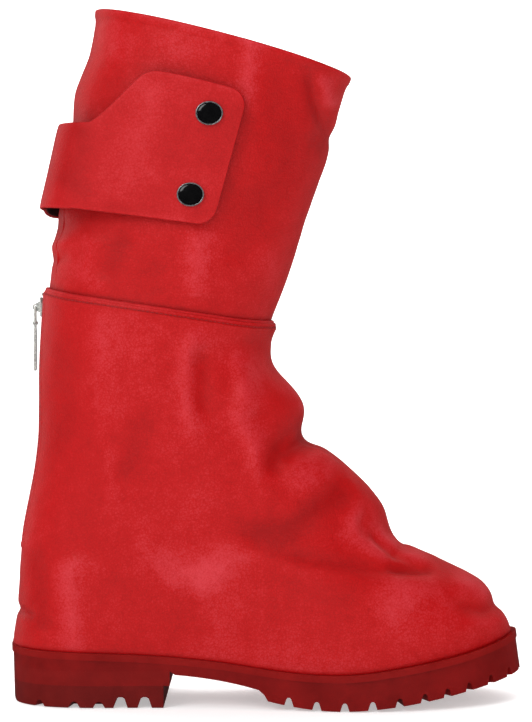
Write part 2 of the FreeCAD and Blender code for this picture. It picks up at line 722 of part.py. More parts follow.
def strap_curve(level, side, inset, share):
    """The strap's line at one level: side -1 is the outer side of the foot; inset goes in towards the shaft."""
    wider = STRAP_SPREAD * (level - STRAP_LOW)
    points = []
    for x, y in share:
        points.append(Vector(x, side * (y + (wider if y > 20 else wider * y / 20)), level))
    curve = open_curve(points)
    if inset == 0:
        return points
    moved = []
    for point in points:
        tangent = curve.tangent(curve.parameter(point))[0]
        normal = Vector(tangent.y, -tangent.x, 0).normalize()
        if normal.dot(Vector(-120.0 - point.x, -point.y, 0)) < 0:
            normal = normal * -1
        moved.append(point + normal * inset)
    return moved


def strap_strip(points_at, outer_inset, inner_inset):
    """A thin curved strip between two insets, lofted from the strap's low level to its high one."""
    wires = []
    for level in (STRAP_LOW, STRAP_HIGH):
        outer, inner = points_at(level, outer_inset), points_at(level, inner_inset)
        wires.append(Part.Wire([
            open_curve(outer).toShape(),
            Part.LineSegment(outer[-1], inner[-1]).toShape(),
            open_curve(inner[::-1]).toShape(),
            Part.LineSegment(inner[0], outer[0]).toShape(),
        ]))
    return Part.makeLoft(wires, True, True)


def lateral_strip(outer_inset, inner_inset):
    return strap_strip(lambda level, inset: strap_curve(level, -1, inset, LATERAL_PATH), outer_inset, inner_inset)


def medial_strip(outer_inset, inner_inset):
    return strap_strip(lambda level, inset: strap_curve(level, 1, inset, MEDIAL_PATH), outer_inset, inner_inset)


def outline_prism(edges, y_low, y_high):
    """A prism across the boot from a closed outline in the shaft's XZ plane."""
    face = Part.Face(Part.Wire(Part.__sortEdges__(edges)))
    face.translate(Vector(0, y_low, 0))
    return face.extrude(Vector(0, y_high - y_low, 0))


def tab_outline(shrink):
    """The tab's outline: a wide rounded end that narrows by an S-curve to the strap's own width."""
    top, low_front, front = 325.6 - shrink, 249.0 + shrink, -86.5 - shrink
    corner = 9.0
    start = HINGE_X + HINGE_GAP
    shoulder = [Vector(start, 0, 291.0 - shrink), Vector(-155.0, 0, 300.5 - shrink), Vector(-147.0, 0, 312.6 - shrink),
                Vector(-138.0, 0, 322.6 - shrink), Vector(-129.0, 0, top)]
    arc_top = Part.Arc(Vector(front - corner, 0, top), Vector(front - corner * 0.293, 0, top - corner * 0.293),
                       Vector(front, 0, top - corner))
    foot = front - 2.2
    arc_low = Part.Arc(Vector(foot, 0, low_front + corner), Vector(foot - corner * 0.293, 0, low_front + corner * 0.293),
                       Vector(foot - corner, 0, low_front + 0.3))
    return [
        open_curve(shoulder).toShape(),
        Part.LineSegment(shoulder[-1], Vector(front - corner, 0, top)).toShape(),
        arc_top.toShape(),
        Part.LineSegment(Vector(front, 0, top - corner), Vector(foot, 0, low_front + corner)).toShape(),
        arc_low.toShape(),
        Part.LineSegment(Vector(foot - corner, 0, low_front + 0.3), Vector(start, 0, 242.0 + shrink)).toShape(),
        Part.LineSegment(Vector(start, 0, 242.0 + shrink), shoulder[0]).toShape(),
    ]


def band_outline(shrink, start, end):
    """The fixed band's outline between two depths: it drops a little towards the back."""
    low_start, low_end = 238.0 + shrink, 238.0 + shrink + (end + 184.0) * 0.167
    high_start, high_end = 286.4 - shrink, 286.4 - shrink + (end + 184.0) * 0.19
    return straight((start, low_start), (end, low_end), (end, high_end), (start, high_start), (start, low_start))


leather_strip = (0.0, size("strap_leather"))
lining_strip = (size("strap_leather") + 0.02, size("strap_leather") + size("strap_lining"))
tab_holes = Part.makeCompound([stud_hole(z, 2.3) for z in stud_heights()])
for label, (outer_inset, inner_inset), shrink in (
    ("strap_tab", leather_strip, 0.0), ("strap_tab_lining", lining_strip, 0.8),
):
    tab = lateral_strip(outer_inset, inner_inset).common(outline_prism(tab_outline(shrink), -HALF_SPACE, 0.0))
    shape_part(label, tab.cut(tab_holes), shaft_frame)

for label, (outer_inset, inner_inset), shrink in (
    ("strap_band", leather_strip, 0.0), ("strap_band_lining", lining_strip, 0.8),
):
    back_piece = lateral_strip(outer_inset, inner_inset).common(
        outline_prism(band_outline(shrink, -189.0, HINGE_X - HINGE_GAP), -HALF_SPACE, BAND_OVERLAP))
    inner_piece = medial_strip(outer_inset, inner_inset).common(
        outline_prism(band_outline(shrink, -189.0, BAND_END), -BAND_OVERLAP, HALF_SPACE))
    shape_part(label, back_piece.fuse(inner_piece).removeSplitter(), shaft_frame)

# ---------------------------------------------------------------------------------------------------------------
# Press studs: cap and socket on the tab, stud and post on the shaft
# ---------------------------------------------------------------------------------------------------------------


def strap_face(height):
    """Half width of the strap's outer face at the studs."""
    curve = open_curve(strap_curve(height, -1, 0, LATERAL_PATH))
    plane = Part.Plane(Vector(STUD_X, 0, 0), Vector(1, 0, 0))
    return abs(curve.intersect(plane)[0][0].Y)


def shaft_face(height):
    """Half width of the shaft's outer face at the studs."""
    table = [(o[0], o[3]) for o in SHAFT_OVALS]
    middle = [(o[0], (o[1] + o[2]) / 2) for o in SHAFT_OVALS]
    depth = [(o[0], (o[2] - o[1]) / 2) for o in SHAFT_OVALS]
    along = (STUD_X - smooth_value(middle, height)) / smooth_value(depth, height)
    return smooth_value(table, height) * math.sqrt(1 - along**2)


def turned_piece(name, height, profile):
    """A piece turned about a line across the shaft; profile holds (radius, half width of the boot) pairs."""
    body = new_body(name, shaft_frame.multiply(Placement(Vector(STUD_X, 0, height), Rotation())))
    sketch = new_sketch(body, "XY_Plane", name + "_profile")
    draw_polygon(sketch, [(radius, -out) for radius, out in profile])
    doc.recompute()
    revolve(body, sketch, name + "_turned", "Y_Axis")
    return body


caps, sockets, studs, posts = [], [], [], []
cap_r, stud_r, socket_r = size("cap_radius"), size("stud_radius"), size("socket_radius")
strap_depth = size("strap_leather") + size("strap_lining")
for tag, height in zip(("low", "high"), stud_heights()):
    outer, inner = strap_face(height), shaft_face(height)
    under = outer - strap_depth
    caps.append(turned_piece(f"cap_{tag}", height, [
        (0, outer + 2.1), (cap_r - 1.9, outer + 2.1), (cap_r - 1.5, outer + 1.9), (cap_r - 0.5, outer + 1.7),
        (cap_r, outer + 0.95), (cap_r, outer + 0.5), (2.0, outer + 0.5), (2.0, under - 0.1), (0, under - 0.1)]))
    sockets.append(turned_piece(f"socket_{tag}", height, [
        (stud_r + 0.7, under - 0.48), (socket_r, under - 0.48), (socket_r, under - 0.8),
        (socket_r - 0.6, under - 1.1), (stud_r + 0.7, under - 1.1)]))
    studs.append(turned_piece(f"stud_{tag}", height, [
        (0, under - 0.35), (stud_r - 0.5, under - 0.35), (stud_r, under - 0.75), (stud_r - 0.3, under - 1.25),
        (socket_r - 1.2, inner + 0.6), (socket_r - 1.2, inner + 0.42), (2.0, inner + 0.42), (2.0, inner - leather - 0.8),
        (0, inner - leather - 0.8)]))
    posts.append(turned_piece(f"post_{tag}", height, [
        (0, inner - leather - 0.85), (5.4, inner - leather - 0.85), (5.4, inner - leather - 1.3),
        (4.8, inner - leather - 1.6), (0, inner - leather - 1.6)]))
compound("snap_caps", caps)
compound("snap_sockets", sockets)
compound("snap_studs", studs)
compound("snap_posts", posts)

# ---------------------------------------------------------------------------------------------------------------
# Zip, in the track frame: the track's Y axis is the centre of its arc, and outwards is towards that axis
# ---------------------------------------------------------------------------------------------------------------

TRACK_TOP_Z = 226.5
TRACK_BOTTOM_Z = 92.0
track_centre = Vector(size("track_centre_x"), 0, size("track_centre_z"))
track_r = size("track_radius")


def track_angle(z):
    """Angle of a point of the track at height z, above the level of its centre."""
    return math.degrees(math.asin((z - size("track_centre_z")) / track_r))


def track_frame(angle):
    """A frame at the track's centre whose X axis points at the track, at that angle."""
    return Placement(track_centre, Rotation(Vector(0, 1, 0), -angle))


track_top, track_bottom = track_angle(TRACK_TOP_Z), track_angle(TRACK_BOTTOM_Z)
track_span = track_top - track_bottom
middle_frame = track_frame((track_top + track_bottom) / 2)


def track_sweep(name, profile, span, frame=None):
    """A strip that follows the track: profile holds (radius, y) corners."""
    body = new_body(name, frame or middle_frame)
    sketch = new_sketch(body, "XY_Plane", name + "_profile")
    draw_polygon(sketch, profile)
    doc.recompute()
    revolve(body, sketch, name + "_sweep", "Y_Axis", span, True)
    return body


tape_half = size("tape_thickness") / 2
tape_start = size("chain_gap") / 2 + 1.2
for label, side in (("zip_tape_lateral", -1), ("zip_tape_medial", 1)):
    bends = [(tape_start, 0.0), (3.5, 0.0), (6.2, 2.9), (size("tape_width") + 1.0, 5.2)]
    outer = [(track_r + drop - tape_half, side * y) for y, drop in bends]
    inner = [(track_r + drop + tape_half, side * y) for y, drop in reversed(bends)]
    keep(track_sweep(label + "_body", outer + inner, track_span + 0.6), label)

tooth_count = int(math.radians(track_span) * track_r / size("tooth_pitch"))
tooth_step = math.degrees(size("tooth_pitch") / track_r)
for label, side, phase in (("zip_teeth_lateral", -1, 0.0), ("zip_teeth_medial", 1, 0.5)):
    body = new_body(label + "_body", track_frame(track_top - phase * tooth_step - 0.2))
    start = size("chain_gap") / 2 if side < 0 else -size("chain_gap") / 2 - size("tooth_length")
    sketch = new_sketch(body, "XZ_Plane", label + "_profile", start)
    half_t, half_h = size("tooth_thickness") / 2, size("tooth_height") / 2
    draw_rectangle(sketch, track_r - half_t, -half_h, track_r - tape_half - 0.02, half_h)
    doc.recompute()
    tooth = pad(body, sketch, label + "_tooth", "Sizes.tooth_length")
    axis = [f for f in body.Origin.OriginFeatures if f.Role == "Y_Axis"][0]
    row = body.newObject("PartDesign::PolarPattern", label + "_row")
    row.Originals = [tooth]
    row.Axis = (axis, [""])
    row.Angle = (tooth_count - 1) * tooth_step
    row.Occurrences = tooth_count
    body.Tip = row
    doc.recompute()
    keep(body, label)

top_stop_angle = track_top + 0.14
bottom_stop_angle = track_bottom - 0.16
stop_outer, stop_inner = track_r - 1.2, track_r - tape_half - 0.02
stops = []
for side in (-1, 1):
    stops.append(track_sweep(f"top_stop_{len(stops)}", [
        (stop_outer, side * 0.8), (stop_outer, side * 3.2), (stop_inner, side * 3.2), (stop_inner, side * 0.8)],
        0.14, track_frame(top_stop_angle)))
compound("zip_top_stops", stops)
bottom_stop = track_sweep("bottom_stop", [
    (stop_outer, -3.2), (stop_outer, 3.2), (stop_inner, 3.2), (stop_inner, -3.2)], 0.2, track_frame(bottom_stop_angle))
keep(bottom_stop, "zip_bottom_stop")
guard = track_sweep("guard", [
    (track_r + 5.8, -12.0), (track_r + 5.8, 12.0), (track_r + 6.6, 12.0), (track_r + 6.6, -12.0)], track_span - 1.2)
keep(guard, "zip_guard")

# Slider: two plates joined by a web between the rows, with edges that fold over the teeth and a bail for the link
plate, clear = size("slider_plate"), 0.32
half_len, half_wide = size("slider_length") / 2, size("slider_width") / 2
slider_angle = track_top - math.degrees((half_len + 0.2) / track_r)
outer_plate = track_r - size("tooth_thickness") / 2 - clear - plate
inner_plate = track_r + tape_half + clear
slider_frame = track_frame(slider_angle)
slider = new_body("slider_body", slider_frame)
sketch = new_sketch(slider, "YZ_Plane", "outer_plate_plan", outer_plate)
draw_polygon(sketch, [
    (-half_wide + 1.0, -half_len), (half_wide - 1.0, -half_len), (half_wide - 0.6, -1.5), (half_wide, 2.0),
    (half_wide - 0.4, half_len - 1.4), (1.6, half_len), (-1.6, half_len), (-half_wide + 0.4, half_len - 1.4),
    (-half_wide, 2.0), (-half_wide + 0.6, -1.5)])
pad(slider, sketch, "outer_plate", "Sizes.slider_plate")
sketch = new_sketch(slider, "YZ_Plane", "edge_plan", outer_plate + plate - 0.2)
for side in (-1, 1):
    draw_polygon(sketch, [(side * (half_wide - 1.1), -half_len + 0.4), (side * (half_wide - 1.1), 2.0),
                          (side * (half_wide - 0.4), 2.0), (side * (half_wide - 0.7), -half_len + 0.4)])
pad(slider, sketch, "edges", 0.2 + clear + size("tooth_thickness") / 2 - tape_half - 0.12)
sketch = new_sketch(slider, "YZ_Plane", "web_plan", outer_plate + plate - 0.2)
draw_rectangle(sketch, -size("slider_web") / 2, 1.4, size("slider_web") / 2, half_len - 0.4)
pad(slider, sketch, "web", inner_plate - outer_plate - plate + 0.4)
sketch = new_sketch(slider, "YZ_Plane", "inner_plate_plan", inner_plate)
draw_polygon(sketch, [(-2.4, -half_len), (2.4, -half_len), (3.2, 1.0), (1.4, half_len), (-1.4, half_len), (-3.2, 1.0)])
pad(slider, sketch, "inner_plate", "Sizes.slider_plate")
BAR_RISE = 2.9
sketch = new_sketch(slider, "XZ_Plane", "bail_side")
bar_x = outer_plate - BAR_RISE
draw_polygon(sketch, [
    (outer_plate + 0.2, -3.4), (outer_plate, -3.4), (bar_x, -1.7), (bar_x - 1.1, -1.3), (bar_x - 1.6, 0.0),
    (bar_x - 1.1, 1.3), (bar_x, 1.7), (outer_plate, 3.4), (outer_plate + 0.2, 3.4)])
draw_circle(sketch, bar_x, 0.0, 0.95)
pad(slider, sketch, "bail", 1.8, True)
keep(slider, "zip_slider")

bar_point = slider_frame.multVec(Vector(bar_x, 0, 0))
LINK_LENGTH, LINK_HALF = 9.0, 2.2
wire = size("link_wire")
link = new_body("link_body", Placement(bar_point, Rotation()))
path = new_sketch(link, "YZ_Plane", "link_path")
r = 0.9
for a, b in (((-LINK_HALF + r, 0), (LINK_HALF - r, 0)), ((LINK_HALF, -r), (LINK_HALF, -LINK_LENGTH + r)),
             ((LINK_HALF - r, -LINK_LENGTH), (-LINK_HALF + r, -LINK_LENGTH)),
             ((-LINK_HALF, -LINK_LENGTH + r), (-LINK_HALF, -r))):
    path.addGeometry(Part.LineSegment(Vector(*a, 0), Vector(*b, 0)), False)
for cx, cy, first in ((LINK_HALF - r, -r, 0), (-LINK_HALF + r, -r, 90), (-LINK_HALF + r, -LINK_LENGTH + r, 180),
                      (LINK_HALF - r, -LINK_LENGTH + r, 270)):
    path.addGeometry(Part.ArcOfCircle(Part.Circle(Vector(cx, cy, 0), Vector(0, 0, 1), r),
                                      math.radians(first), math.radians(first + 90)), False)
section = new_sketch(link, "XZ_Plane", "link_section")
draw_circle(section, 0.0, 0.0, wire)
doc.recompute()
ring = link.newObject("PartDesign::AdditivePipe", "link_ring")
ring.Profile = section
ring.Spine = path
doc.recompute()
keep(link, "zip_link")

puller = new_body("puller_body", Placement(bar_point - Vector(0, 0, LINK_LENGTH), Rotation()))
barrel = new_sketch(puller, "XZ_Plane", "barrel_section")
draw_circle(barrel, 0.0, 0.0, 1.5)
pad(puller, barrel, "barrel", 2.7, True)
plan = new_sketch(puller, "YZ_Plane", "bar_plan")
half, length = size("puller_width") / 2, size("puller_length")
draw_polygon(plan, [(-1.35, -1.0), (-1.35, -2.2), (-half, -4.2), (-half, -length + 1.4), (-half + 1.4, -length),
                    (half - 1.4, -length), (half, -length + 1.4), (half, -4.2), (1.35, -2.2), (1.35, -1.0)])
pad(puller, plan, "bar", "Sizes.puller_thickness", True)
eye = new_sketch(puller, "XZ_Plane", "eye_section")
draw_circle(eye, 0.0, 0.0, wire + 0.28)
pocket_through(puller, eye, "eye")
keep(puller, "zip_puller")

# ---------------------------------------------------------------------------------------------------------------
# Check every shape, then write the STEP files
# ---------------------------------------------------------------------------------------------------------------

doc.recompute()
for obj in doc.Objects:
    if "Invalid" in obj.State or "Error" in obj.State:
        raise RuntimeError(f"{obj.Label} did not compute: {obj.State}")

os.makedirs("parts", exist_ok=True)
for obj in parts:
    if obj.Shape.isNull() or not obj.Shape.isValid():
        raise RuntimeError(f"{obj.Label} has no valid shape")
    obj.Shape.exportStep(f"parts/{obj.Label}.step")
    box = obj.Shape.optimalBoundingBox()
    print(f"{obj.Label:20s} solids {len(obj.Shape.Solids)} volume {obj.Shape.Volume / 1000:8.2f} cm3  "
          f"x {box.XMin:7.1f} {box.XMax:7.1f}  y {box.YMin:6.1f} {box.YMax:6.1f}  z {box.ZMin:6.1f} {box.ZMax:6.1f}")
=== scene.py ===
"""Looks of a slouching red leather boot: folded leather leg, leaning shaft, wrap strap, back zip and lugged sole."""

import math

import bmesh
import bpy
import numpy as np
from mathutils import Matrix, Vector


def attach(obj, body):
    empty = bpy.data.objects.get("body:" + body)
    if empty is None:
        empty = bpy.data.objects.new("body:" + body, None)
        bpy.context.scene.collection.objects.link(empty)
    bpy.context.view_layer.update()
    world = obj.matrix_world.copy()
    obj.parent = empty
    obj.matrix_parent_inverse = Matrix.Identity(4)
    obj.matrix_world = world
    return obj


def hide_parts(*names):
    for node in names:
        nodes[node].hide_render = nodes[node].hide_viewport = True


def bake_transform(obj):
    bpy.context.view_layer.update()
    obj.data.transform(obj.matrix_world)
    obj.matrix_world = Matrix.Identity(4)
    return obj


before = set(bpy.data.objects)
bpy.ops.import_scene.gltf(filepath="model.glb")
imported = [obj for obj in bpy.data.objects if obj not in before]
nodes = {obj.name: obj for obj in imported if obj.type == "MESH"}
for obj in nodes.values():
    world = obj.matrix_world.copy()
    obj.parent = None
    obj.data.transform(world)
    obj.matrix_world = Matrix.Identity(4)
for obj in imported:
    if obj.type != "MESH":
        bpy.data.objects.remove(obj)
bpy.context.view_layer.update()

MM = 0.001

# ---- The boot's own sizes, in millimetres ----

FEATHER_LINE = [
    (-152, 31.9), (-110, 30.3), (-64, 28.5), (-28, 25.4), (11, 20.7), (34, 19.5),
    (52, 20.2), (71, 22.7), (92, 26.0), (112, 29.8), (130, 34.4), (152, 41.5),
]
LATERAL_FULLNESS = [(0.0, 1.40), (0.05, 1.27), (0.13, 1.06), (0.25, 0.83), (0.40, 0.775), (0.50, 0.88), (0.65, 1.09),
                    (0.75, 1.19), (0.85, 1.25), (0.93, 1.29), (1.0, 1.35)]
MEDIAL_FULLNESS = [(0.0, 1.40), (0.05, 1.27), (0.13, 1.06), (0.25, 0.80), (0.40, 0.62), (0.50, 0.67), (0.65, 0.88),
                   (0.75, 1.05), (0.85, 1.20), (0.93, 1.28), (1.0, 1.35)]
# Rings of the leg: back x, z; front x, z; half widths; share of ankle oval
LEG_RINGS = [
    (-141.8, 8.0, 141.0, 24.0, 48.5, 48.5, 0.0),
    (-142.6, 34.0, 138.4, 40.5, 48.5, 48.0, 0.0),
    (-140.4, 52.0, 132.0, 52.0, 47.5, 46.5, 0.05),
    (-139.4, 66.0, 121.5, 66.0, 45.5, 44.5, 0.15),
    (-139.0, 80.0, 98.4, 78.0, 43.5, 43.0, 0.30),
    (-137.2, 97.0, 73.4, 91.0, 42.5, 42.0, 0.50),
    (-134.0, 114.0, 65.4, 110.0, 42.0, 41.5, 0.70),
    (-130.8, 131.0, 46.0, 131.0, 41.5, 41.0, 0.85),
    (-128.8, 149.0, 25.0, 149.0, 41.5, 41.0, 1.0),
    (-128.4, 168.0, 20.4, 168.0, 42.0, 41.5, 1.0),
    (-128.2, 187.0, 4.2, 188.0, 43.0, 42.5, 1.0),
    (-127.2, 207.0, 3.0, 199.0, 44.2, 44.0, 1.0),
    (-125.7, 230.5, 6.7, 210.0, 45.2, 45.2, 1.0),
]
LEG_TOP_BACK = (-125.7, 230.5)
LEG_TOP_FRONT = (6.7, 210.0)
TOE_SWING = 8.0
LEATHER, GAP, LINING, STIFFENER = 1.8, 0.2, 1.0, 1.0
ZIP_SLOT_HALF, ZIP_SLOT_BOTTOM = 6.3, 88.0

# Ovals of the shaft in its own leaning frame: height, back, front, half width
SHAFT_OVALS = [
    (180.0, -171.6, -47.6, 41.4), (200.0, -172.2, -46.6, 42.0), (222.0, -175.2, -43.8, 43.8),
    (245.0, -176.8, -41.5, 45.0), (270.0, -178.2, -39.5, 46.2), (288.0, -179.8, -37.5, 47.2),
    (308.0, -182.9, -35.5, 48.2), (332.0, -180.0, -35.5, 49.3), (362.0, -181.8, -32.6, 50.6),
]
SHAFT_LEAN = math.radians(13.2)
SHAFT_TOP_BACK, SHAFT_TOP_FRONT = 355.0, 351.0
SHAFT_TUCK = 8.0
FACING_BOTTOM = 321.0

# The strap's outer face from the tab's front edge, round the back, to the inner side: depth and side
STRAP_PATH = [
    (-80.0, -47.6), (-109.0, -49.0), (-138.0, -48.0), (-160.0, -45.2), (-174.6, -39.2), (-183.2, -29.5),
    (-186.0, -17.0), (-186.0, 0.0), (-186.0, 17.0), (-183.2, 29.0), (-174.6, 37.0), (-160.0, 42.2),
    (-138.0, 45.6), (-109.0, 46.9), (-80.0, 43.6),
]
STRAP_SPREAD, STRAP_LOW = 0.052, 228.0
STRAP_LEATHER, STRAP_LINING = 1.6, 0.8
STRAP_CENTRE = (-120.0, 0.0, 285.0)
STUD_X, STUD_LEVELS = -104.0, (264.0, 309.0)

TRACK_CENTRE_X, TRACK_CENTRE_Z, TRACK_R = -687.9, 200.9, 563.0
TRACK_BOTTOM_Z, TRACK_TOP_Z = 92.0, 226.5

# ---- Curves and sheets ----


def hermite(places, values, at):
    """Values on a smooth curve through (place, value) rows, for any number of places at once."""
    places, values, at = np.asarray(places, float), np.asarray(values, float), np.asarray(at, float)
    index = np.arange(len(places))
    low, high = np.maximum(index - 1, 0), np.minimum(index + 1, len(places) - 1)
    run = places[high] - places[low]
    slope = (values[high] - values[low]) / (run if values.ndim == 1 else run[:, None])
    k = np.clip(np.searchsorted(places, at, side="right") - 1, 0, len(places) - 2)
    span = places[k + 1] - places[k]
    t = (at - places[k]) / span
    if values.ndim > 1:
        t, span = t[..., None], span[..., None]
    return (
        (2 * t**3 - 3 * t**2 + 1) * values[k] + (t**3 - 2 * t**2 + t) * span * slope[k]
        + (3 * t**2 - 2 * t**3) * values[k + 1] + (t**3 - t**2) * span * slope[k + 1]
    )


def table(points, at):
    points = np.asarray(points, float)
    return hermite(points[:, 0], points[:, 1], at)


def ease(value):
    """0 below 0, 1 above 1, and a smooth step between."""
    t = np.clip(value, 0.0, 1.0)
    return t * t * (3 - 2 * t)


def unit(vectors):
    return vectors / np.maximum(np.linalg.norm(vectors, axis=-1, keepdims=True), 1e-12)


def smooth_path(points, count=28):
    """A smooth open path through 2-D or 3-D points, evenly numbered."""
    points = np.asarray(points, float)
    lengths = np.concatenate([[0.0], np.cumsum(np.linalg.norm(np.diff(points, axis=0), axis=1))])
    return hermite(lengths, points, np.linspace(0, lengths[-1], count))


def grid_faces(rows, cols, closed=True, keep=None):
    """Faces of a grid of points, facing out for columns that go clockwise seen from above."""
    r = np.arange(rows - 1)[:, None]
    c = np.arange(cols if closed else cols - 1)[None, :]
    n = (c + 1) % cols
    quads = np.stack([r * cols + c, (r + 1) * cols + c, (r + 1) * cols + n, r * cols + n], -1)
    return quads.reshape(-1, 4) if keep is None else quads[keep]


def grid_normals(points, closed=True):
    """Outward unit normals of a grid of points (rows, columns, 3)."""
    up = np.gradient(points, axis=0)
    if closed:
        across = np.roll(points, -1, axis=1) - np.roll(points, 1, axis=1)
    else:
        across = np.gradient(points, axis=1)
    return unit(np.cross(up, across))


def thicken(points, faces, normals, thickness, rim=1.0, steps=3):
    """A closed sheet: the outer points, the same points moved in, and a round rim along every open edge."""
    used = np.unique(faces)
    remap = -np.ones(len(points), int)
    remap[used] = np.arange(len(used))
    points, normals, faces = points[used], normals[used], remap[faces]
    count = len(points)
    pairs = np.concatenate([faces[:, [k, (k + 1) % 4]] for k in range(4)])
    key, back = pairs[:, 0] * count + pairs[:, 1], pairs[:, 1] * count + pairs[:, 0]
    edges = pairs[~np.isin(key, back)]
    out = np.zeros_like(points)
    run = unit(points[edges[:, 1]] - points[edges[:, 0]])
    aside = np.cross(run, unit(normals[edges[:, 0]] + normals[edges[:, 1]]))
    np.add.at(out, edges[:, 0], aside)
    np.add.at(out, edges[:, 1], aside)
    out = unit(out)
    border = np.unique(edges)
    place = -np.ones(count, int)
    place[border] = np.arange(len(border))
    rings, parts = [points, points - normals * thickness], []
    half = thickness / 2
    for k in range(1, steps + 1):
        angle = math.pi * k / (steps + 1)
        rings.append(points[border] - normals[border] * half * (1 - math.cos(angle))
                     + out[border] * half * rim * math.sin(angle))
    parts.append(faces)
    parts.append(faces[:, ::-1] + count)
    starts = [lambda i: i]
    for k in range(steps):
        starts.append(lambda i, k=k: 2 * count + k * len(border) + place[i])
    starts.append(lambda i: i + count)
    a, b = edges[:, 0], edges[:, 1]
    for near, far in zip(starts, starts[1:]):
        parts.append(np.stack([near(b), near(a), far(a), far(b)], -1))
    origin = np.concatenate([used, used] + [used[border]] * steps)
    kind = np.concatenate([np.zeros(count), np.full(count, 2.0), np.ones(len(border) * steps)])
    return np.concatenate(rings), np.concatenate(parts), origin, kind


def build(name, points, faces, material, smooth=True):
    """A mesh object from points in millimetres."""
    mesh = bpy.data.meshes.new(name)
    mesh.from_pydata((np.asarray(points, float) * MM).tolist(), [], [list(map(int, f)) for f in faces])
    mesh.polygons.foreach_set("use_smooth", np.full(len(mesh.polygons), smooth))
    for one in material if isinstance(material, list) else [material]:
        mesh.materials.append(one)
    mesh.update()
    obj = bpy.data.objects.new(name, mesh)
    bpy.context.scene.collection.objects.link(obj)
    return obj


def set_tone(obj, values):
    obj.data.attributes.new("tone", "FLOAT", "POINT").data.foreach_set("value", np.asarray(values, np.float32))


def place(obj, body, slot, *replaced):
    """Rides on a body and stands for CAD nodes, which it hides; the slot argument is not used."""
    if replaced:
        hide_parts(*replaced)
    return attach(obj, body)


def modify(obj, kind, **settings):
    modifier = obj.modifiers.new(kind.lower(), kind)
    for name, value in settings.items():
        setattr(modifier, name, value)
    return modifier


def to_world(points):
    """From the leaning shaft frame to the boot's frame."""
    x, y, h = points[..., 0], points[..., 1], points[..., 2]
    return np.stack([x * math.cos(SHAFT_LEAN) + h * math.sin(SHAFT_LEAN), y,
                     -x * math.sin(SHAFT_LEAN) + h * math.cos(SHAFT_LEAN)], -1)


def to_shaft(x, z):
    return x * math.cos(SHAFT_LEAN) - z * math.sin(SHAFT_LEAN), x * math.sin(SHAFT_LEAN) + z * math.cos(SHAFT_LEAN)
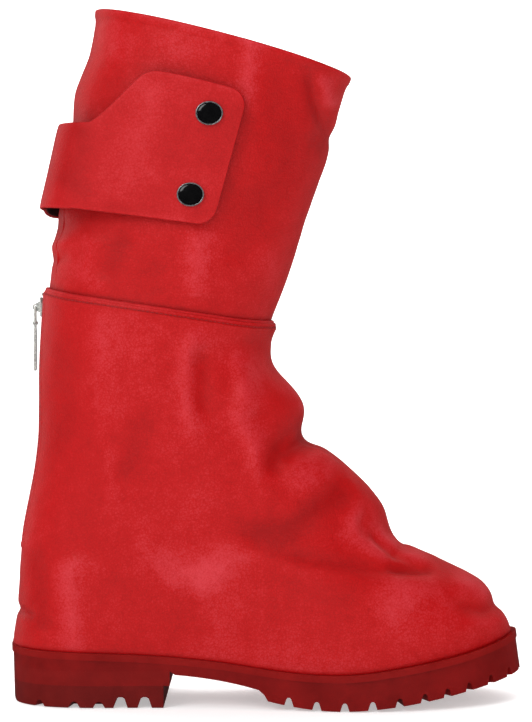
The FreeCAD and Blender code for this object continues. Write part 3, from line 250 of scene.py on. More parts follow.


# ---- Folds: lines on the boot's side, each a ridge (positive height) or a valley (negative) ----

# (points x, z), reach on the left and right of the line's direction, height, fade at start and end, paleness: positive
# is a painted highlight, partly the leather's own paling where it stretches, negative is a painted shade
LATERAL_LEG_FOLDS = [
    ([(-36, 213), (-42, 198), (-43.5, 184), (-43, 166), (-40, 151), (-36, 140)], 9.0, 5.0, 2.6, 0.2, 0.3, 0.9),
    ([(-34, 203), (-35, 186), (-34, 168), (-31, 152)], 6.0, 6.0, -2.0, 0.3, 0.3, -0.7),
    ([(-20, 200), (-14, 184), (-13, 172), (-15, 158), (-7, 143), (-4, 130), (-3, 121)], 9.0, 5.0, 3.0, 0.3, 0.15, 0.8),
    ([(26, 148), (14, 144), (7, 138), (4, 130), (3, 121)], 6.5, 8.0, -4.2, 0.0, 0.35, -1.2),
    ([(34, 140), (28, 132), (22, 126), (14, 116)], 10.0, 10.0, 1.8, 0.1, 0.3, 0.5),
    ([(80, 87), (73, 84), (64, 81)], 3.0, 3.0, -1.5, 0.0, 0.5, -0.5),
    ([(10, 185), (13, 176), (18, 168), (20, 160)], 2.0, 2.0, 0.3, 0.2, 0.2, 0.5),
    ([(20, 152), (14, 147), (9, 141)], 1.6, 1.6, 0.4, 0.2, 0.3, 0.7),
    ([(50, 122), (38, 116), (27, 108), (16, 99), (-4, 96), (-20, 98), (-36, 101)], 8.0, 7.0, -3.0, 0.1, 0.4, -1.1),
    ([(-8, 91), (5, 86), (25, 82.5), (45, 79.5), (65, 76.5), (80, 74.5), (98, 73.5)], 5.0, 4.0, -2.1, 0.3, 0.15, -0.7),
    ([(64, 77.5), (80, 75), (96, 73.5)], 3.2, 2.0, -1.8, 0.3, 0.2, -0.9),
    ([(56, 113), (48.5, 103), (50.5, 93), (58, 87), (67, 82), (77, 78)], 3.5, 5.0, 1.6, 0.2, 0.4, 0.9),
    ([(58, 108), (62, 96), (72, 87), (83, 81), (94, 77)], 3.2, 4.2, 0.8, 0.3, 0.2, 0.8),
    ([(57, 99), (63, 89), (72, 83.5), (80, 80), (90, 76.5)], 2.2, 2.2, -1.7, 0.2, 0.2, -0.5),
    ([(100, 68), (86, 65), (74, 58), (60, 47)], 7.0, 13.0, 1.2, 0.35, 0.4, 0.7),
    ([(23, 62), (36, 61), (52, 60)], 2.0, 1.6, -0.5, 0.4, 0.4, -0.3),
    ([(132, 53), (122, 51.5), (110, 55), (98, 58)], 4.0, 4.0, -1.5, 0.0, 0.4, -0.6),
    ([(134, 45), (122, 45), (106, 47)], 5.0, 5.0, 0.9, 0.0, 0.4, 0.4),
    ([(124, 63), (112, 66), (102, 68)], 6.0, 6.0, 0.8, 0.0, 0.4, 0.9),
    ([(-72, 94), (-64, 81), (-54, 70), (-43, 60)], 7.0, 3.0, 1.9, 0.25, 0.25, 0.5),
    ([(-42, 60), (-34, 69), (-22, 80), (-4, 90)], 11.0, 7.0, 1.6, 0.2, 0.3, 0.8),
    ([(-62, 90), (-48, 78), (-36, 76), (-22, 84)], 8.0, 8.0, -0.9, 0.3, 0.3, 0.55),
    ([(-87, 150), (-85.5, 134), (-83.5, 120), (-81.5, 104)], 8.0, 3.6, 1.6, 0.3, 0.35, 0.7),
    ([(-79, 140), (-78, 122), (-77, 104)], 4.0, 8.0, -1.0, 0.3, 0.3, -0.5),
    ([(-89, 222), (-88.5, 190), (-88, 165), (-86, 146)], 10.0, 7.0, 1.3, 0.2, 0.3, 0.6),
    ([(-62, 170), (-68, 152), (-77, 132), (-80, 116)], 8.0, 8.0, -1.4, 0.3, 0.3, -0.6),
    ([(-111, 84), (-108, 68), (-106, 52), (-105, 34)], 5.0, 7.0, 1.8, 0.25, 0.0, 0.9),
    ([(-110, 80), (-98, 78), (-84, 73)], 4.0, 8.0, 1.0, 0.2, 0.4, 0.5),
    ([(-130, 92), (-127, 72), (-124, 54), (-122, 40)], 7.0, 7.0, -1.3, 0.3, 0.1, -0.7),
    ([(-143, 51), (-134, 50), (-126, 47)], 2.6, 2.6, -1.6, 0.0, 0.4, -0.5),
    ([(-60, 214), (-63, 196), (-62, 178), (-58, 160)], 11.0, 11.0, 0.9, 0.3, 0.3, 0.3),
    ([(-110, 210), (-112, 184), (-113, 158), (-116, 130)], 9.0, 9.0, -0.9, 0.3, 0.3, -0.4),
    ([(-20, 128), (-30, 118), (-44, 112), (-58, 112)], 9.0, 9.0, 1.2, 0.3, 0.4, 0.4),
    ([(4, 213), (-4, 202), (-10, 192)], 6.0, 6.0, -1.2, 0.0, 0.4, -0.4),
    ([(-6, 60), (-20, 50), (-38, 40)], 14.0, 14.0, 0.8, 0.3, 0.3, 0.4),
    ([(112, 62), (100, 52), (84, 44), (62, 38)], 14.0, 12.0, 0.2, 0.25, 0.25, 0.45),
    ([(-60, 34), (-20, 28), (20, 24), (60, 27)], 8.0, 8.0, 0.1, 0.25, 0.25, 0.3),
]
MEDIAL_LEG_FOLDS = [
    ([(26, 150), (12, 148), (-2, 140), (-12, 128)], 7.0, 7.0, -4.0, 0.0, 0.4, -1.0),
    ([(34, 138), (20, 128), (4, 116), (-14, 108)], 10.0, 10.0, 2.2, 0.1, 0.4, 0.6),
    ([(50, 122), (32, 112), (12, 100), (-12, 94), (-34, 96)], 8.0, 8.0, -3.2, 0.1, 0.4, -0.9),
    ([(74, 86), (56, 84), (34, 78), (10, 76), (-10, 80)], 5.0, 6.0, -2.4, 0.0, 0.4, -0.8),
    ([(62, 104), (48, 96), (34, 92), (18, 90)], 6.0, 6.0, 1.6, 0.2, 0.4, 0.6),
    ([(94, 76), (78, 66), (58, 58), (36, 56)], 9.0, 10.0, 1.7, 0.2, 0.4, 0.6),
    ([(132, 53), (120, 52), (106, 56)], 4.0, 4.0, -1.5, 0.0, 0.4, -0.6),
    ([(-24, 208), (-28, 186), (-26, 166), (-18, 150)], 9.0, 6.0, 2.4, 0.3, 0.3, 0.7),
    ([(-60, 218), (-66, 194), (-64, 170), (-54, 150)], 10.0, 8.0, 1.7, 0.2, 0.3, 0.6),
    ([(-42, 200), (-46, 180), (-42, 160)], 8.0, 8.0, -1.8, 0.3, 0.3, -0.6),
    ([(-96, 212), (-98, 180), (-94, 148), (-84, 120)], 9.0, 9.0, 1.5, 0.2, 0.3, 0.5),
    ([(-78, 150), (-74, 128), (-64, 108), (-50, 92)], 9.0, 7.0, -1.7, 0.3, 0.3, -0.6),
    ([(-112, 84), (-98, 74), (-80, 66), (-60, 64)], 7.0, 9.0, 1.5, 0.3, 0.4, 0.7),
    ([(-122, 66), (-114, 52), (-110, 36)], 6.0, 9.0, 1.3, 0.2, 0.0, 0.5),
    ([(-143, 51), (-134, 50), (-124, 46)], 2.6, 2.6, -1.6, 0.0, 0.4, -0.5),
    ([(-44, 74), (-28, 62), (-8, 54), (14, 52)], 9.0, 9.0, 1.2, 0.3, 0.3, 0.5),
]
LATERAL_SHAFT_FOLDS = [
    ([(-8, 372), (-9, 356), (-10.5, 338), (-13, 322)], 6.0, 4.0, 1.1, 0.2, 0.4, 0.7),
    ([(-36, 266), (-37.5, 250), (-38.6, 224)], 8.0, 5.0, 1.3, 0.2, 0.1, 0.8),
    ([(37, 316), (30, 328), (26, 342), (23, 356)], 5.0, 4.0, -2.2, 0.0, 0.4, -0.6),
    ([(38, 306), (31, 311), (25, 320)], 6.0, 6.0, -1.2, 0.0, 0.4, -0.5),
    ([(37, 330), (33, 342), (31, 352)], 4.0, 4.0, 1.0, 0.2, 0.3, 1.0),
    ([(-73, 264), (-82, 250), (-92, 234)], 7.0, 7.0, -1.2, 0.3, 0.2, -0.6),
    ([(-94, 262), (-98, 246), (-104, 232)], 7.0, 6.0, 0.9, 0.2, 0.2, 0.4),
    ([(-60, 250), (-62, 236), (-60, 222)], 9.0, 9.0, -0.6, 0.3, 0.3, -0.4),
    ([(24, 300), (14, 276), (4, 250), (-4, 226)], 10.0, 12.0, 0.9, 0.3, 0.2, 0.2),
    ([(-4, 290), (-12, 268), (-18, 240)], 9.0, 9.0, -0.8, 0.3, 0.2, -0.3),
    ([(-86, 380), (-84, 366), (-78, 350)], 9.0, 9.0, 0.7, 0.1, 0.4, 0.4),
    ([(-52, 372), (-50, 360), (-46, 350)], 10.0, 10.0, 0.5, 0.2, 0.4, 0.3),
    ([(8, 360), (6, 340), (4, 318), (2, 300)], 9.0, 9.0, -0.7, 0.3, 0.4, -0.4),
    ([(16, 326), (8, 298), (-2, 268), (-8, 244)], 14.0, 14.0, 0.0, 0.2, 0.25, -0.5),
    ([(-126, 254), (-116, 255), (-104, 258)], 3.2, 3.2, 1.3, 0.0, 0.5, 0.3),
    ([(-126, 264), (-114, 266), (-100, 266)], 5.0, 5.0, -1.2, 0.0, 0.5, -0.3),
    ([(-126, 246.5), (-116, 247), (-106, 248)], 2.6, 2.6, -0.9, 0.0, 0.5, -0.3),
]
MEDIAL_SHAFT_FOLDS = [
    ([(37, 316), (28, 318), (14, 314), (-4, 312)], 5.0, 5.0, -2.0, 0.0, 0.4, -0.6),
    ([(22, 300), (8, 272), (-4, 240), (-8, 222)], 10.0, 12.0, 1.2, 0.3, 0.2, 0.4),
    ([(-30, 262), (-36, 244), (-40, 226)], 9.0, 7.0, 1.2, 0.2, 0.1, 0.6),
    ([(-54, 256), (-62, 240), (-70, 226)], 8.0, 8.0, -1.2, 0.3, 0.2, -0.5),
    ([(-86, 262), (-90, 246), (-96, 232)], 8.0, 8.0, 1.0, 0.2, 0.2, 0.4),
    ([(-20, 374), (-22, 352), (-26, 332)], 8.0, 6.0, 1.0, 0.1, 0.4, 0.6),
    ([(12, 366), (10, 346), (4, 330)], 8.0, 8.0, -1.0, 0.2, 0.4, -0.4),
]


# Folds of the strap that its mesh doesn't have: their paleness is painted highlight and shade, and their heights only
# shift where the random tone is read.
STRAP_FOLDS = [
    ([(-58, 346), (-66, 320), (-74, 294), (-83, 274)], 8.0, 11.0, 0.35, 0.15, 0.1, 0.6),
    ([(-96, 326), (-103, 304), (-110, 280)], 11.0, 11.0, -0.2, 0.25, 0.2, -0.8),
    ([(-66, 296), (-60, 290), (-57, 286)], 2.0, 2.0, 0.15, 0.2, 0.3, 0.5),
    ([(-34, 342), (-22, 318), (-30, 290)], 12.0, 12.0, -0.1, 0.3, 0.3, -0.25),
]


def fold_field(x, z, folds):
    """Height of all folds at points of the side view, and their paleness: painted highlight where positive, partly the
    leather's own paling, and painted shade where negative.
    """
    height, pale = np.zeros_like(x), np.zeros_like(x)
    for points, reach_left, reach_right, rise, fade_start, fade_end, fold_paling_and_painted_light in folds:
        path = smooth_path(points, 22)
        margin = 3 * max(reach_left, reach_right)
        near = ((x > path[:, 0].min() - margin) & (x < path[:, 0].max() + margin)
                & (z > path[:, 1].min() - margin) & (z < path[:, 1].max() + margin))
        px, pz = x[near], z[near]
        best, along, left = np.full(px.shape, 1e9), np.zeros(px.shape), np.zeros(px.shape)
        for k, (a, b) in enumerate(zip(path, path[1:])):
            run = b - a
            t = np.clip(((px - a[0]) * run[0] + (pz - a[1]) * run[1]) / (run @ run), 0, 1)
            dx, dz = px - a[0] - t * run[0], pz - a[1] - t * run[1]
            distance = np.hypot(dx, dz)
            closer = distance < best
            best = np.where(closer, distance, best)
            along = np.where(closer, (k + t) / (len(path) - 1), along)
            left = np.where(closer, run[0] * dz - run[1] * dx, left)
        reach = np.where(left > 0, reach_left, reach_right)
        strength = np.exp(-((best / reach) ** 2))
        if fade_start > 0:
            strength = strength * ease(along / fade_start)
        if fade_end > 0:
            strength = strength * ease((1 - along) / fade_end)
        halo = strength ** 0.45 if fold_paling_and_painted_light > 0 else strength
        height[near] += rise * strength
        pale[near] += fold_paling_and_painted_light * (0.40 * strength + 0.50 * halo)
    return height, pale


def ripple(points, scale, seed):
    """Smooth waves between -1 and 1, from a few fixed directions."""
    draw = np.random.default_rng(seed)
    total = np.zeros(points.shape[:-1])
    for _ in range(9):
        direction = unit(draw.normal(size=3)) * draw.uniform(0.6, 1.7) / scale
        total += np.sin(points @ direction * 2 * math.pi + draw.uniform(0, 2 * math.pi))
    return total / 4.5


def fold_leather(points, normals, lateral, medial, seed, amount=None):
    """Moves a grid of points out and in by its folds, and returns their paleness too: painted highlight and shade,
    partly the leather's own paling.
    """
    outer_side = ease(0.5 - points[..., 1] / 22.0)
    shape = points.shape[:-1]
    flat = points.reshape(-1, 3)
    near, near_paling_and_painted_light = fold_field(flat[:, 0], flat[:, 2], lateral)
    far, far_paling_and_painted_light = fold_field(flat[:, 0], flat[:, 2], medial)
    height = near.reshape(shape) * outer_side + far.reshape(shape) * (1 - outer_side)
    pale = near_paling_and_painted_light.reshape(shape) * outer_side + far_paling_and_painted_light.reshape(shape) * (1 - outer_side)
    height += 0.30 * ripple(points, 46.0, seed) + 0.10 * ripple(points, 15.0, seed + 1)
    if amount is not None:
        height *= amount
    return points + normals * height[..., None], pale


# ---- Materials ----


def linear(r, g, b):
    """A display colour, 0 to 255, as the shader's own."""
    def one(c):
        c /= 255
        return c / 12.92 if c <= 0.04045 else ((c + 0.055) / 1.055) ** 2.4
    return (one(r), one(g), one(b), 1.0)


class Finish:
    """A material and short calls for its nodes."""

    def __init__(self, name, **constants):
        self.material = bpy.data.materials.new(name)
        self.material.use_nodes = True
        self.tree = self.material.node_tree
        self.shader = self.tree.nodes["Principled BSDF"]
        for socket, value in constants.items():
            self.shader.inputs[socket.replace("_", " ").title().replace("Ior", "IOR")].default_value = value
        self.coordinate = self.node("ShaderNodeTexCoord").outputs["Object"]

    def node(self, kind, inputs=None, **settings):
        node = self.tree.nodes.new(kind)
        for name, value in settings.items():
            setattr(node, name, value)
        for name, value in (inputs or {}).items():
            if isinstance(value, bpy.types.NodeSocket):
                self.tree.links.new(value, node.inputs[name])
            else:
                node.inputs[name].default_value = value
        return node

    def math(self, operation, a, b, c=None):
        inputs = {0: a, 1: b}
        if c is not None:
            inputs[2] = c
        return self.node("ShaderNodeMath", inputs, operation=operation).outputs[0]

    def noise(self, scale, detail=3.0, roughness=0.55, distortion=0.0, vector=None):
        return self.node("ShaderNodeTexNoise", {
            "Vector": vector or self.coordinate, "Scale": scale, "Detail": detail, "Roughness": roughness,
            "Distortion": distortion}).outputs["Fac"]

    def stretched(self, x, y, z):
        return self.node("ShaderNodeMapping", {"Vector": self.coordinate, "Scale": (x, y, z)}).outputs["Vector"]

    def ramp(self, value, *stops):
        node = self.node("ShaderNodeValToRGB", {"Fac": value})
        while len(node.color_ramp.elements) < len(stops):
            node.color_ramp.elements.new(0.5)
        for element, (at, colour) in zip(node.color_ramp.elements, stops):
            element.position = at
            element.color = linear(*colour)
        return node.outputs["Color"]

    def spread(self, value, low, high):
        return self.node("ShaderNodeMapRange", {"Value": value, "To Min": low, "To Max": high}).outputs["Result"]

    def bump(self, height, strength, distance, below=None):
        inputs = {"Height": height, "Strength": strength, "Distance": distance}
        if below is not None:
            inputs["Normal"] = below
        return self.node("ShaderNodeBump", inputs).outputs["Normal"]

    def use(self, socket, value):
        self.tree.links.new(value, self.shader.inputs[socket])


def leather_finish(name, dark, mid, pale, grain=1150.0, depth=0.00016, tone=0.42, rough=(0.40, 0.56), **constants):
    """Drum-dyed leather: mottled colour, pebbled grain with fine creases, and the tone attribute's painted highlight
    and shade, partly the leather's own paling where a fold stretches it.
    """
    f = Finish(name, **constants)
    broad = f.noise(26.0, 3.0)
    cloudy = f.noise(150.0, 5.0, 0.65)
    fine = f.noise(900.0, 4.0, 0.7)
    # The tone attribute: painted highlight and shade of folds and edges, partly the leather's own paling, with random
    # tone and darker cut edges.
    folded = f.node("ShaderNodeAttribute", attribute_name="tone").outputs["Fac"]
    value = f.math("MULTIPLY_ADD", broad, 0.50, -0.40)
    value = f.math("MULTIPLY_ADD", cloudy, 0.50, value)
    value = f.math("MULTIPLY_ADD", fine, 0.70, value)
    value = f.math("MULTIPLY_ADD", folded, tone, value)
    f.use("Roughness", f.spread(f.math("MULTIPLY_ADD", cloudy, 0.6, f.math("MULTIPLY", fine, 0.4)), *rough))
    cells = f.node("ShaderNodeTexVoronoi", {"Vector": f.coordinate, "Scale": grain, "Smoothness": 0.6},
                   feature="SMOOTH_F1").outputs["Distance"]
    creases = f.noise(210.0, 4.0, 0.6, 0.6, f.stretched(1.0, 1.0, 2.2))
    warped = f.node("ShaderNodeVectorMath", {0: f.coordinate, 1: f.node("ShaderNodeVectorMath", {
        0: f.node("ShaderNodeTexNoise", {"Vector": f.coordinate, "Scale": 300.0, "Detail": 2.0}).outputs["Color"],
        3: 0.0022}, operation="SCALE").outputs[0]}, operation="ADD").outputs[0]
    cracks = f.node("ShaderNodeTexVoronoi", {"Vector": warped, "Scale": grain * 0.52},
                    feature="DISTANCE_TO_EDGE").outputs["Distance"]
    plates = f.math("MINIMUM", f.math("MULTIPLY", cracks, 7.0), 1.0)
    low = f.bump(creases, 0.35, 0.0005)
    value = f.math("MULTIPLY_ADD", plates, 0.20, f.math("SUBTRACT", value, 0.16))
    f.use("Base Color", f.ramp(value, (0.0, dark), (0.5, mid), (1.0, pale)))
    relief = f.math("MULTIPLY_ADD", cells, 0.7, f.math("MULTIPLY_ADD", plates, 0.5, f.math("MULTIPLY", fine, 0.5)))
    f.use("Normal", f.bump(relief, 0.6, depth, low))
    return f.material


def rubber_finish(name, dark, pale, rough):
    f = Finish(name, specular_ior_level=0.16)
    patchy = f.noise(60.0, 4.0, 0.6)
    speck = f.noise(1300.0, 3.0, 0.6)
    value = f.math("MULTIPLY_ADD", patchy, 0.7, f.math("MULTIPLY", speck, 0.3))
    f.use("Base Color", f.ramp(value, (0.25, dark), (0.75, pale)))
    f.use("Roughness", f.spread(patchy, rough - 0.06, rough + 0.1))
    f.use("Normal", f.bump(speck, 0.25, 0.00012, f.bump(patchy, 0.2, 0.0006)))
    return f.material


def plain_finish(name, dark, pale, rough, scale=400.0, relief=0.0001, **constants):
    """Metal, board or cork: two close colours mixed by noise, with fine relief."""
    f = Finish(name, **constants)
    grain = f.noise(scale, 5.0, 0.65)
    f.use("Base Color", f.ramp(grain, (0.3, dark), (0.7, pale)))
    f.use("Roughness", f.spread(grain, max(rough - 0.07, 0.02), rough + 0.07))
    f.use("Normal", f.bump(grain, 0.3, relief))
    return f.material


def woven_finish(name, dark, pale, pitch):
    """Narrow woven tape with a twill line."""
    f = Finish(name, sheen_weight=0.25, sheen_roughness=0.5, specular_ior_level=0.3)
    twill = f.node("ShaderNodeTexWave", {
        "Vector": f.stretched(0.0, 1.0, 1.0), "Scale": 0.31 / pitch, "Distortion": 0.6},
        bands_direction="DIAGONAL").outputs["Fac"]
    cross = f.node("ShaderNodeTexWave", {"Vector": f.coordinate, "Scale": 0.31 / pitch, "Distortion": 0.4},
                   bands_direction="Z").outputs["Fac"]
    weave = f.math("MULTIPLY", twill, cross)
    f.use("Base Color", f.ramp(weave, (0.0, dark), (0.8, pale)))
    f.use("Roughness", f.spread(weave, 0.75, 0.95))
    f.use("Normal", f.bump(weave, 0.8, 0.0002))
    return f.material


SOFT_GLOSS = {"sheen_weight": 0.012, "sheen_roughness": 0.35, "specular_ior_level": 0.19}
red_leather = leather_finish("red_leather", (150, 3, 5), (176, 7, 10), (194, 50, 58), **SOFT_GLOSS)
strap_leather = leather_finish("strap_leather", (152, 5, 8), (174, 14, 18), (192, 46, 52),
                               **SOFT_GLOSS)
piping_leather = leather_finish("piping_leather", (146, 9, 11), (180, 22, 26), (204, 52, 58),
                                depth=0.00010, specular_ior_level=0.19)
facing_leather = leather_finish("facing_leather", (146, 12, 14), (172, 20, 24), (190, 40, 46),
                                rough=(0.5, 0.66), specular_ior_level=0.19)
lining_leather = leather_finish("lining_leather", (96, 62, 46), (142, 98, 74), (170, 128, 100),
                                grain=900.0, rough=(0.6, 0.8), tone=0.2)
footbed_leather = leather_finish("footbed_leather", (86, 54, 40), (128, 86, 64), (160, 116, 90),
                                 grain=900.0, rough=(0.55, 0.75), tone=0.2)
sole_rubber = rubber_finish("sole_rubber", (92, 3, 2), (132, 6, 5), 0.36)
welt_rubber = rubber_finish("welt_rubber", (110, 5, 4), (140, 11, 9), 0.32)
heel_rubber = rubber_finish("heel_rubber", (96, 4, 3), (134, 11, 8), 0.40)
lift_rubber = rubber_finish("lift_rubber", (84, 6, 4), (114, 12, 9), 0.42)
cork_filler = plain_finish("cork_filler", (120, 84, 52), (176, 134, 92), 0.85, 500.0, 0.0004)
fibre_board = plain_finish("fibre_board", (110, 88, 66), (146, 122, 96), 0.8, 900.0)
stiffener = plain_finish("stiffener", (200, 190, 170), (224, 216, 200), 0.7, 700.0)
spring_steel = plain_finish("spring_steel", (110, 112, 116), (150, 152, 156), 0.35, metallic=1.0)
nail_steel = plain_finish("nail_steel", (120, 118, 114), (160, 158, 152), 0.4, metallic=1.0)
strap_lining = leather_finish("strap_lining", (10, 10, 11), (22, 21, 22), (46, 44, 45), rough=(0.5, 0.7),
                              tone=0.1)
snap_enamel = plain_finish("snap_enamel", (4, 4, 5), (9, 9, 10), 0.14, 300.0, 0.00002,
                           specular_ior_level=0.4)
snap_metal = plain_finish("snap_metal", (110, 108, 110), (176, 174, 176), 0.24, 500.0, 0.00003, metallic=0.7)
zip_tape = woven_finish("zip_tape", (96, 8, 10), (150, 18, 22), 0.0007)
zip_metal = plain_finish("zip_metal", (176, 178, 176), (216, 218, 214), 0.26, 600.0, 0.00004, metallic=0.5)
zip_chrome = plain_finish("zip_chrome", (150, 153, 148), (248, 250, 244), 0.20, 900.0, 0.00008, metallic=0.35)
thread = plain_finish("thread", (120, 8, 10), (160, 18, 22), 0.7, 2500.0, 0.00012)

# ---- The leg: one folded leather sheet from the sole to the shaft seam, open at the back for the zip ----

RINGS = np.array(LEG_RINGS)
STATIONS = np.concatenate([[0.0], np.cumsum(
    (np.hypot(*np.diff(RINGS[:, 0:2], axis=0).T) + np.hypot(*np.diff(RINGS[:, 2:4], axis=0).T)) / 2)])
TOP_STATION = STATIONS[-1]


def leg_point(turn, station):
    """A point of the leg's plain surface: turn 0 is the back of the heel, and its sine is negative outside."""
    turn, station = np.broadcast_arrays(np.asarray(turn, float), np.asarray(station, float))
    ring = hermite(STATIONS, RINGS, station)
    along = 0.5 - 0.5 * np.cos(turn)
    outside = np.sin(turn) <= 0
    fullness = np.where(outside, table(LATERAL_FULLNESS, along), table(MEDIAL_FULLNESS, along))
    oval = np.clip(ring[..., 6], 0, 1)
    half = np.where(outside, ring[..., 4], ring[..., 5])
    width = half * np.sin(turn) * (fullness * (1 - oval) + oval)
    return np.stack([
        ring[..., 0] + (ring[..., 2] - ring[..., 0]) * along,
        width + TOE_SWING * along**2 * (1 - oval),
        ring[..., 1] + (ring[..., 3] - ring[..., 1]) * along], -1)


def station_at(turn, height_over):
    """The station where a column of the leg crosses a line; height_over(point) is below 0 under the line."""
    low, high = np.full_like(turn, STATIONS[0]), np.full_like(turn, STATIONS[3])
    for _ in range(32):
        mid = (low + high) / 2
        under = height_over(leg_point(turn, mid)) < 0
        low, high = np.where(under, mid, low), np.where(under, high, mid)
    return (low + high) / 2


def feather(lift):
    return lambda point: point[..., 2] - table(FEATHER_LINE, point[..., 0]) - lift


def even_turns(count, station, start, end):
    """Turns that divide a ring into equal lengths."""
    fine = np.linspace(start, end, 4000)
    ring = leg_point(fine, station)
    length = np.concatenate([[0.0], np.cumsum(np.linalg.norm(np.diff(ring, axis=0), axis=1))])
    return np.interp(np.linspace(0, length[-1], count), length, fine)


MAIN, BRIDGE, ROWS = 380, 9, 168
base_turns = (even_turns(MAIN, STATIONS[3], 0.0, 2 * math.pi) - math.pi) / math.pi
bottom_lift = -0.4
back_bottom = station_at(np.zeros(1), feather(bottom_lift))[0]
slot_station = np.interp(ZIP_SLOT_BOTTOM, RINGS[:, 1], STATIONS)
slot_share = (slot_station - back_bottom) / (TOP_STATION - back_bottom)
shares = np.linspace(0, 1, ROWS)
slot_row = int(np.argmin(abs(shares - slot_share)))
shares[:slot_row + 1] *= slot_share / shares[slot_row]
HEM_ROWS, hem_share = 18, 1 - 7.0 / (TOP_STATION - back_bottom)
shares[slot_row:] = np.concatenate([
    np.linspace(slot_share, hem_share, ROWS - slot_row - HEM_ROWS + 1)[:-1], np.linspace(hem_share, 1, HEM_ROWS)])


def leg_grid():
    """All points of the leg's plain sheet, and where each column lies round the ring."""
    turn = np.zeros((ROWS, MAIN + BRIDGE))
    station = np.zeros_like(turn)
    for row, share in enumerate(shares):
        at = back_bottom + (TOP_STATION - back_bottom) * share
        ring = hermite(STATIONS, RINGS, np.array([at]))[0]
        oval = min(max(ring[6], 0.0), 1.0)
        edge = math.asin(ZIP_SLOT_HALF / (ring[4] * (1.39 * (1 - oval) + oval)))
        main = math.pi + base_turns * (math.pi - edge)
        bridge = 2 * math.pi - edge + 2 * edge * np.arange(1, BRIDGE + 1) / (BRIDGE + 1)
        turn[row] = np.concatenate([main, bridge])
    bottom = station_at(turn[0], feather(bottom_lift))
    for row, share in enumerate(shares):
        station[row] = bottom + (TOP_STATION - bottom) * share
    return turn, station


def edge_droop(turn):
    """How far the leg's top edge lies above its plane: it hangs a little at the sides."""
    return 0.6 * (0.5 - 0.5 * np.cos(turn)) - 2.1 * ease(np.abs(np.sin(turn)) / 0.8)


leg_turn, leg_station = leg_grid()
plain_leg = leg_point(leg_turn, leg_station)
top_slope = (LEG_TOP_FRONT[1] - LEG_TOP_BACK[1]) / (LEG_TOP_FRONT[0] - LEG_TOP_BACK[0])
below_top = (LEG_TOP_BACK[1] + top_slope * (plain_leg[..., 0] - LEG_TOP_BACK[0]) - plain_leg[..., 2])
plain_leg[..., 2] += edge_droop(leg_turn) * ease(1 - below_top / 34.0)
leg_normals = grid_normals(plain_leg)
above_sole = plain_leg[..., 2] - table(FEATHER_LINE, plain_leg[..., 0])
slot_distance = np.where((plain_leg[..., 0] < -60) & (plain_leg[..., 2] > ZIP_SLOT_BOTTOM - 3),
                         np.abs(plain_leg[..., 1]) - ZIP_SLOT_HALF, 99.0)
calm = ease(above_sole / 9.0) * (0.35 + 0.65 * ease(below_top / 12.0)) * (0.15 + 0.85 * ease(slot_distance / 9.0))
# The folds also give the leg its paleness: painted highlight and shade, partly the leather's own paling.
folded_leg, leg_paling_and_painted_light = fold_leather(plain_leg, leg_normals, LATERAL_LEG_FOLDS, MEDIAL_LEG_FOLDS, 11, calm)
# The folded top edge: a thicker hem with a sewn channel, and the turned edges along the zip
hem = (0.25 * ease((3.8 - below_top) / 1.0) - 1.3 * (1 - ease(below_top / 2.4))
       - 0.5 * np.exp(-((below_top - 1.9) / 0.5) ** 2))
hem += (0.35 * ease((5.2 - slot_distance) / 1.2) * (slot_distance < 90)
        - 0.45 * np.exp(-((slot_distance - 2.4) / 0.6) ** 2))
hem += 0.35 * np.exp(-((above_sole - 1.0) / 1.1) ** 2)
leg_normals = grid_normals(folded_leg)
folded_leg = folded_leg + leg_normals * hem[..., None]
leg_normals = grid_normals(folded_leg)

rows_up, columns_round = np.meshgrid(np.arange(ROWS - 1), np.arange(MAIN + BRIDGE), indexing="ij")
over_zip = (columns_round >= MAIN - 1) & (rows_up >= slot_row)


def leg_sheet(name, inset, thickness, material, keep, tone=None, rim=1.0):
    """A closed sheet of the leg's own shape, moved in."""
    flat = (folded_leg - leg_normals * inset).reshape(-1, 3)
    faces = grid_faces(ROWS, MAIN + BRIDGE, keep=keep)
    points, faces, origin, kind = thicken(flat, faces, leg_normals.reshape(-1, 3), thickness, rim)
    obj = build(name, points, faces, material)
    if tone is not None:
        set_tone(obj, np.where(kind == 0, tone.reshape(-1)[origin], np.where(kind == 1, -0.25, -0.1)))
    return obj


# Painted light along the leg's edges: a painted highlight on the rolled top edge, painted shade in the sewn channel
# below it, a painted shadow where the leather meets the sole, and a paler line beside the zip slot.
edge_painted_light = (0.4 * np.exp(-((below_top - 0.6) / 0.6) ** 2) - 1.1 * np.exp(-((below_top - 1.9) / 0.55) ** 2)
             - 0.9 * np.exp(-((above_sole - 0.2) / 1.0) ** 2) + 0.3 * np.exp(-((slot_distance - 0.3) / 1.0) ** 2))
leg_tone = np.clip(leg_paling_and_painted_light, -1.3, 1.2) + edge_painted_light
place(leg_sheet("leg_leather", 0.0, LEATHER, red_leather, ~over_zip, leg_tone, 0.8), "boot", "red_leather",
      "leg_lateral", "leg_medial")

cell_x = plain_leg[:-1, :, 0]
cell_z = plain_leg[:-1, :, 2]
cell_y = np.abs(plain_leg[:-1, :, 1])
lining_keep = ~((cell_y < 14.5) & (cell_x < -60) & (cell_z > 81)) & (below_top[1:] > 8.5)
place(leg_sheet("leg_inside_lining", LEATHER + GAP * 2 + STIFFENER, LINING, lining_leather, lining_keep), "boot",
      "lining_leather", "leg_lining")
counter_top = np.where(cell_x < -112, 68.0, 68.0 - (cell_x + 112) * 0.6)
place(leg_sheet("heel_stiffener", LEATHER + GAP, STIFFENER, stiffener, (cell_x < -63) & (cell_z < counter_top)), "boot",
      "stiffener", "heel_counter")
place(leg_sheet("toe_stiffener", LEATHER + GAP, STIFFENER, stiffener, cell_x > 98.5), "boot", "stiffener", "toe_puff")

# ---- Stitches ----


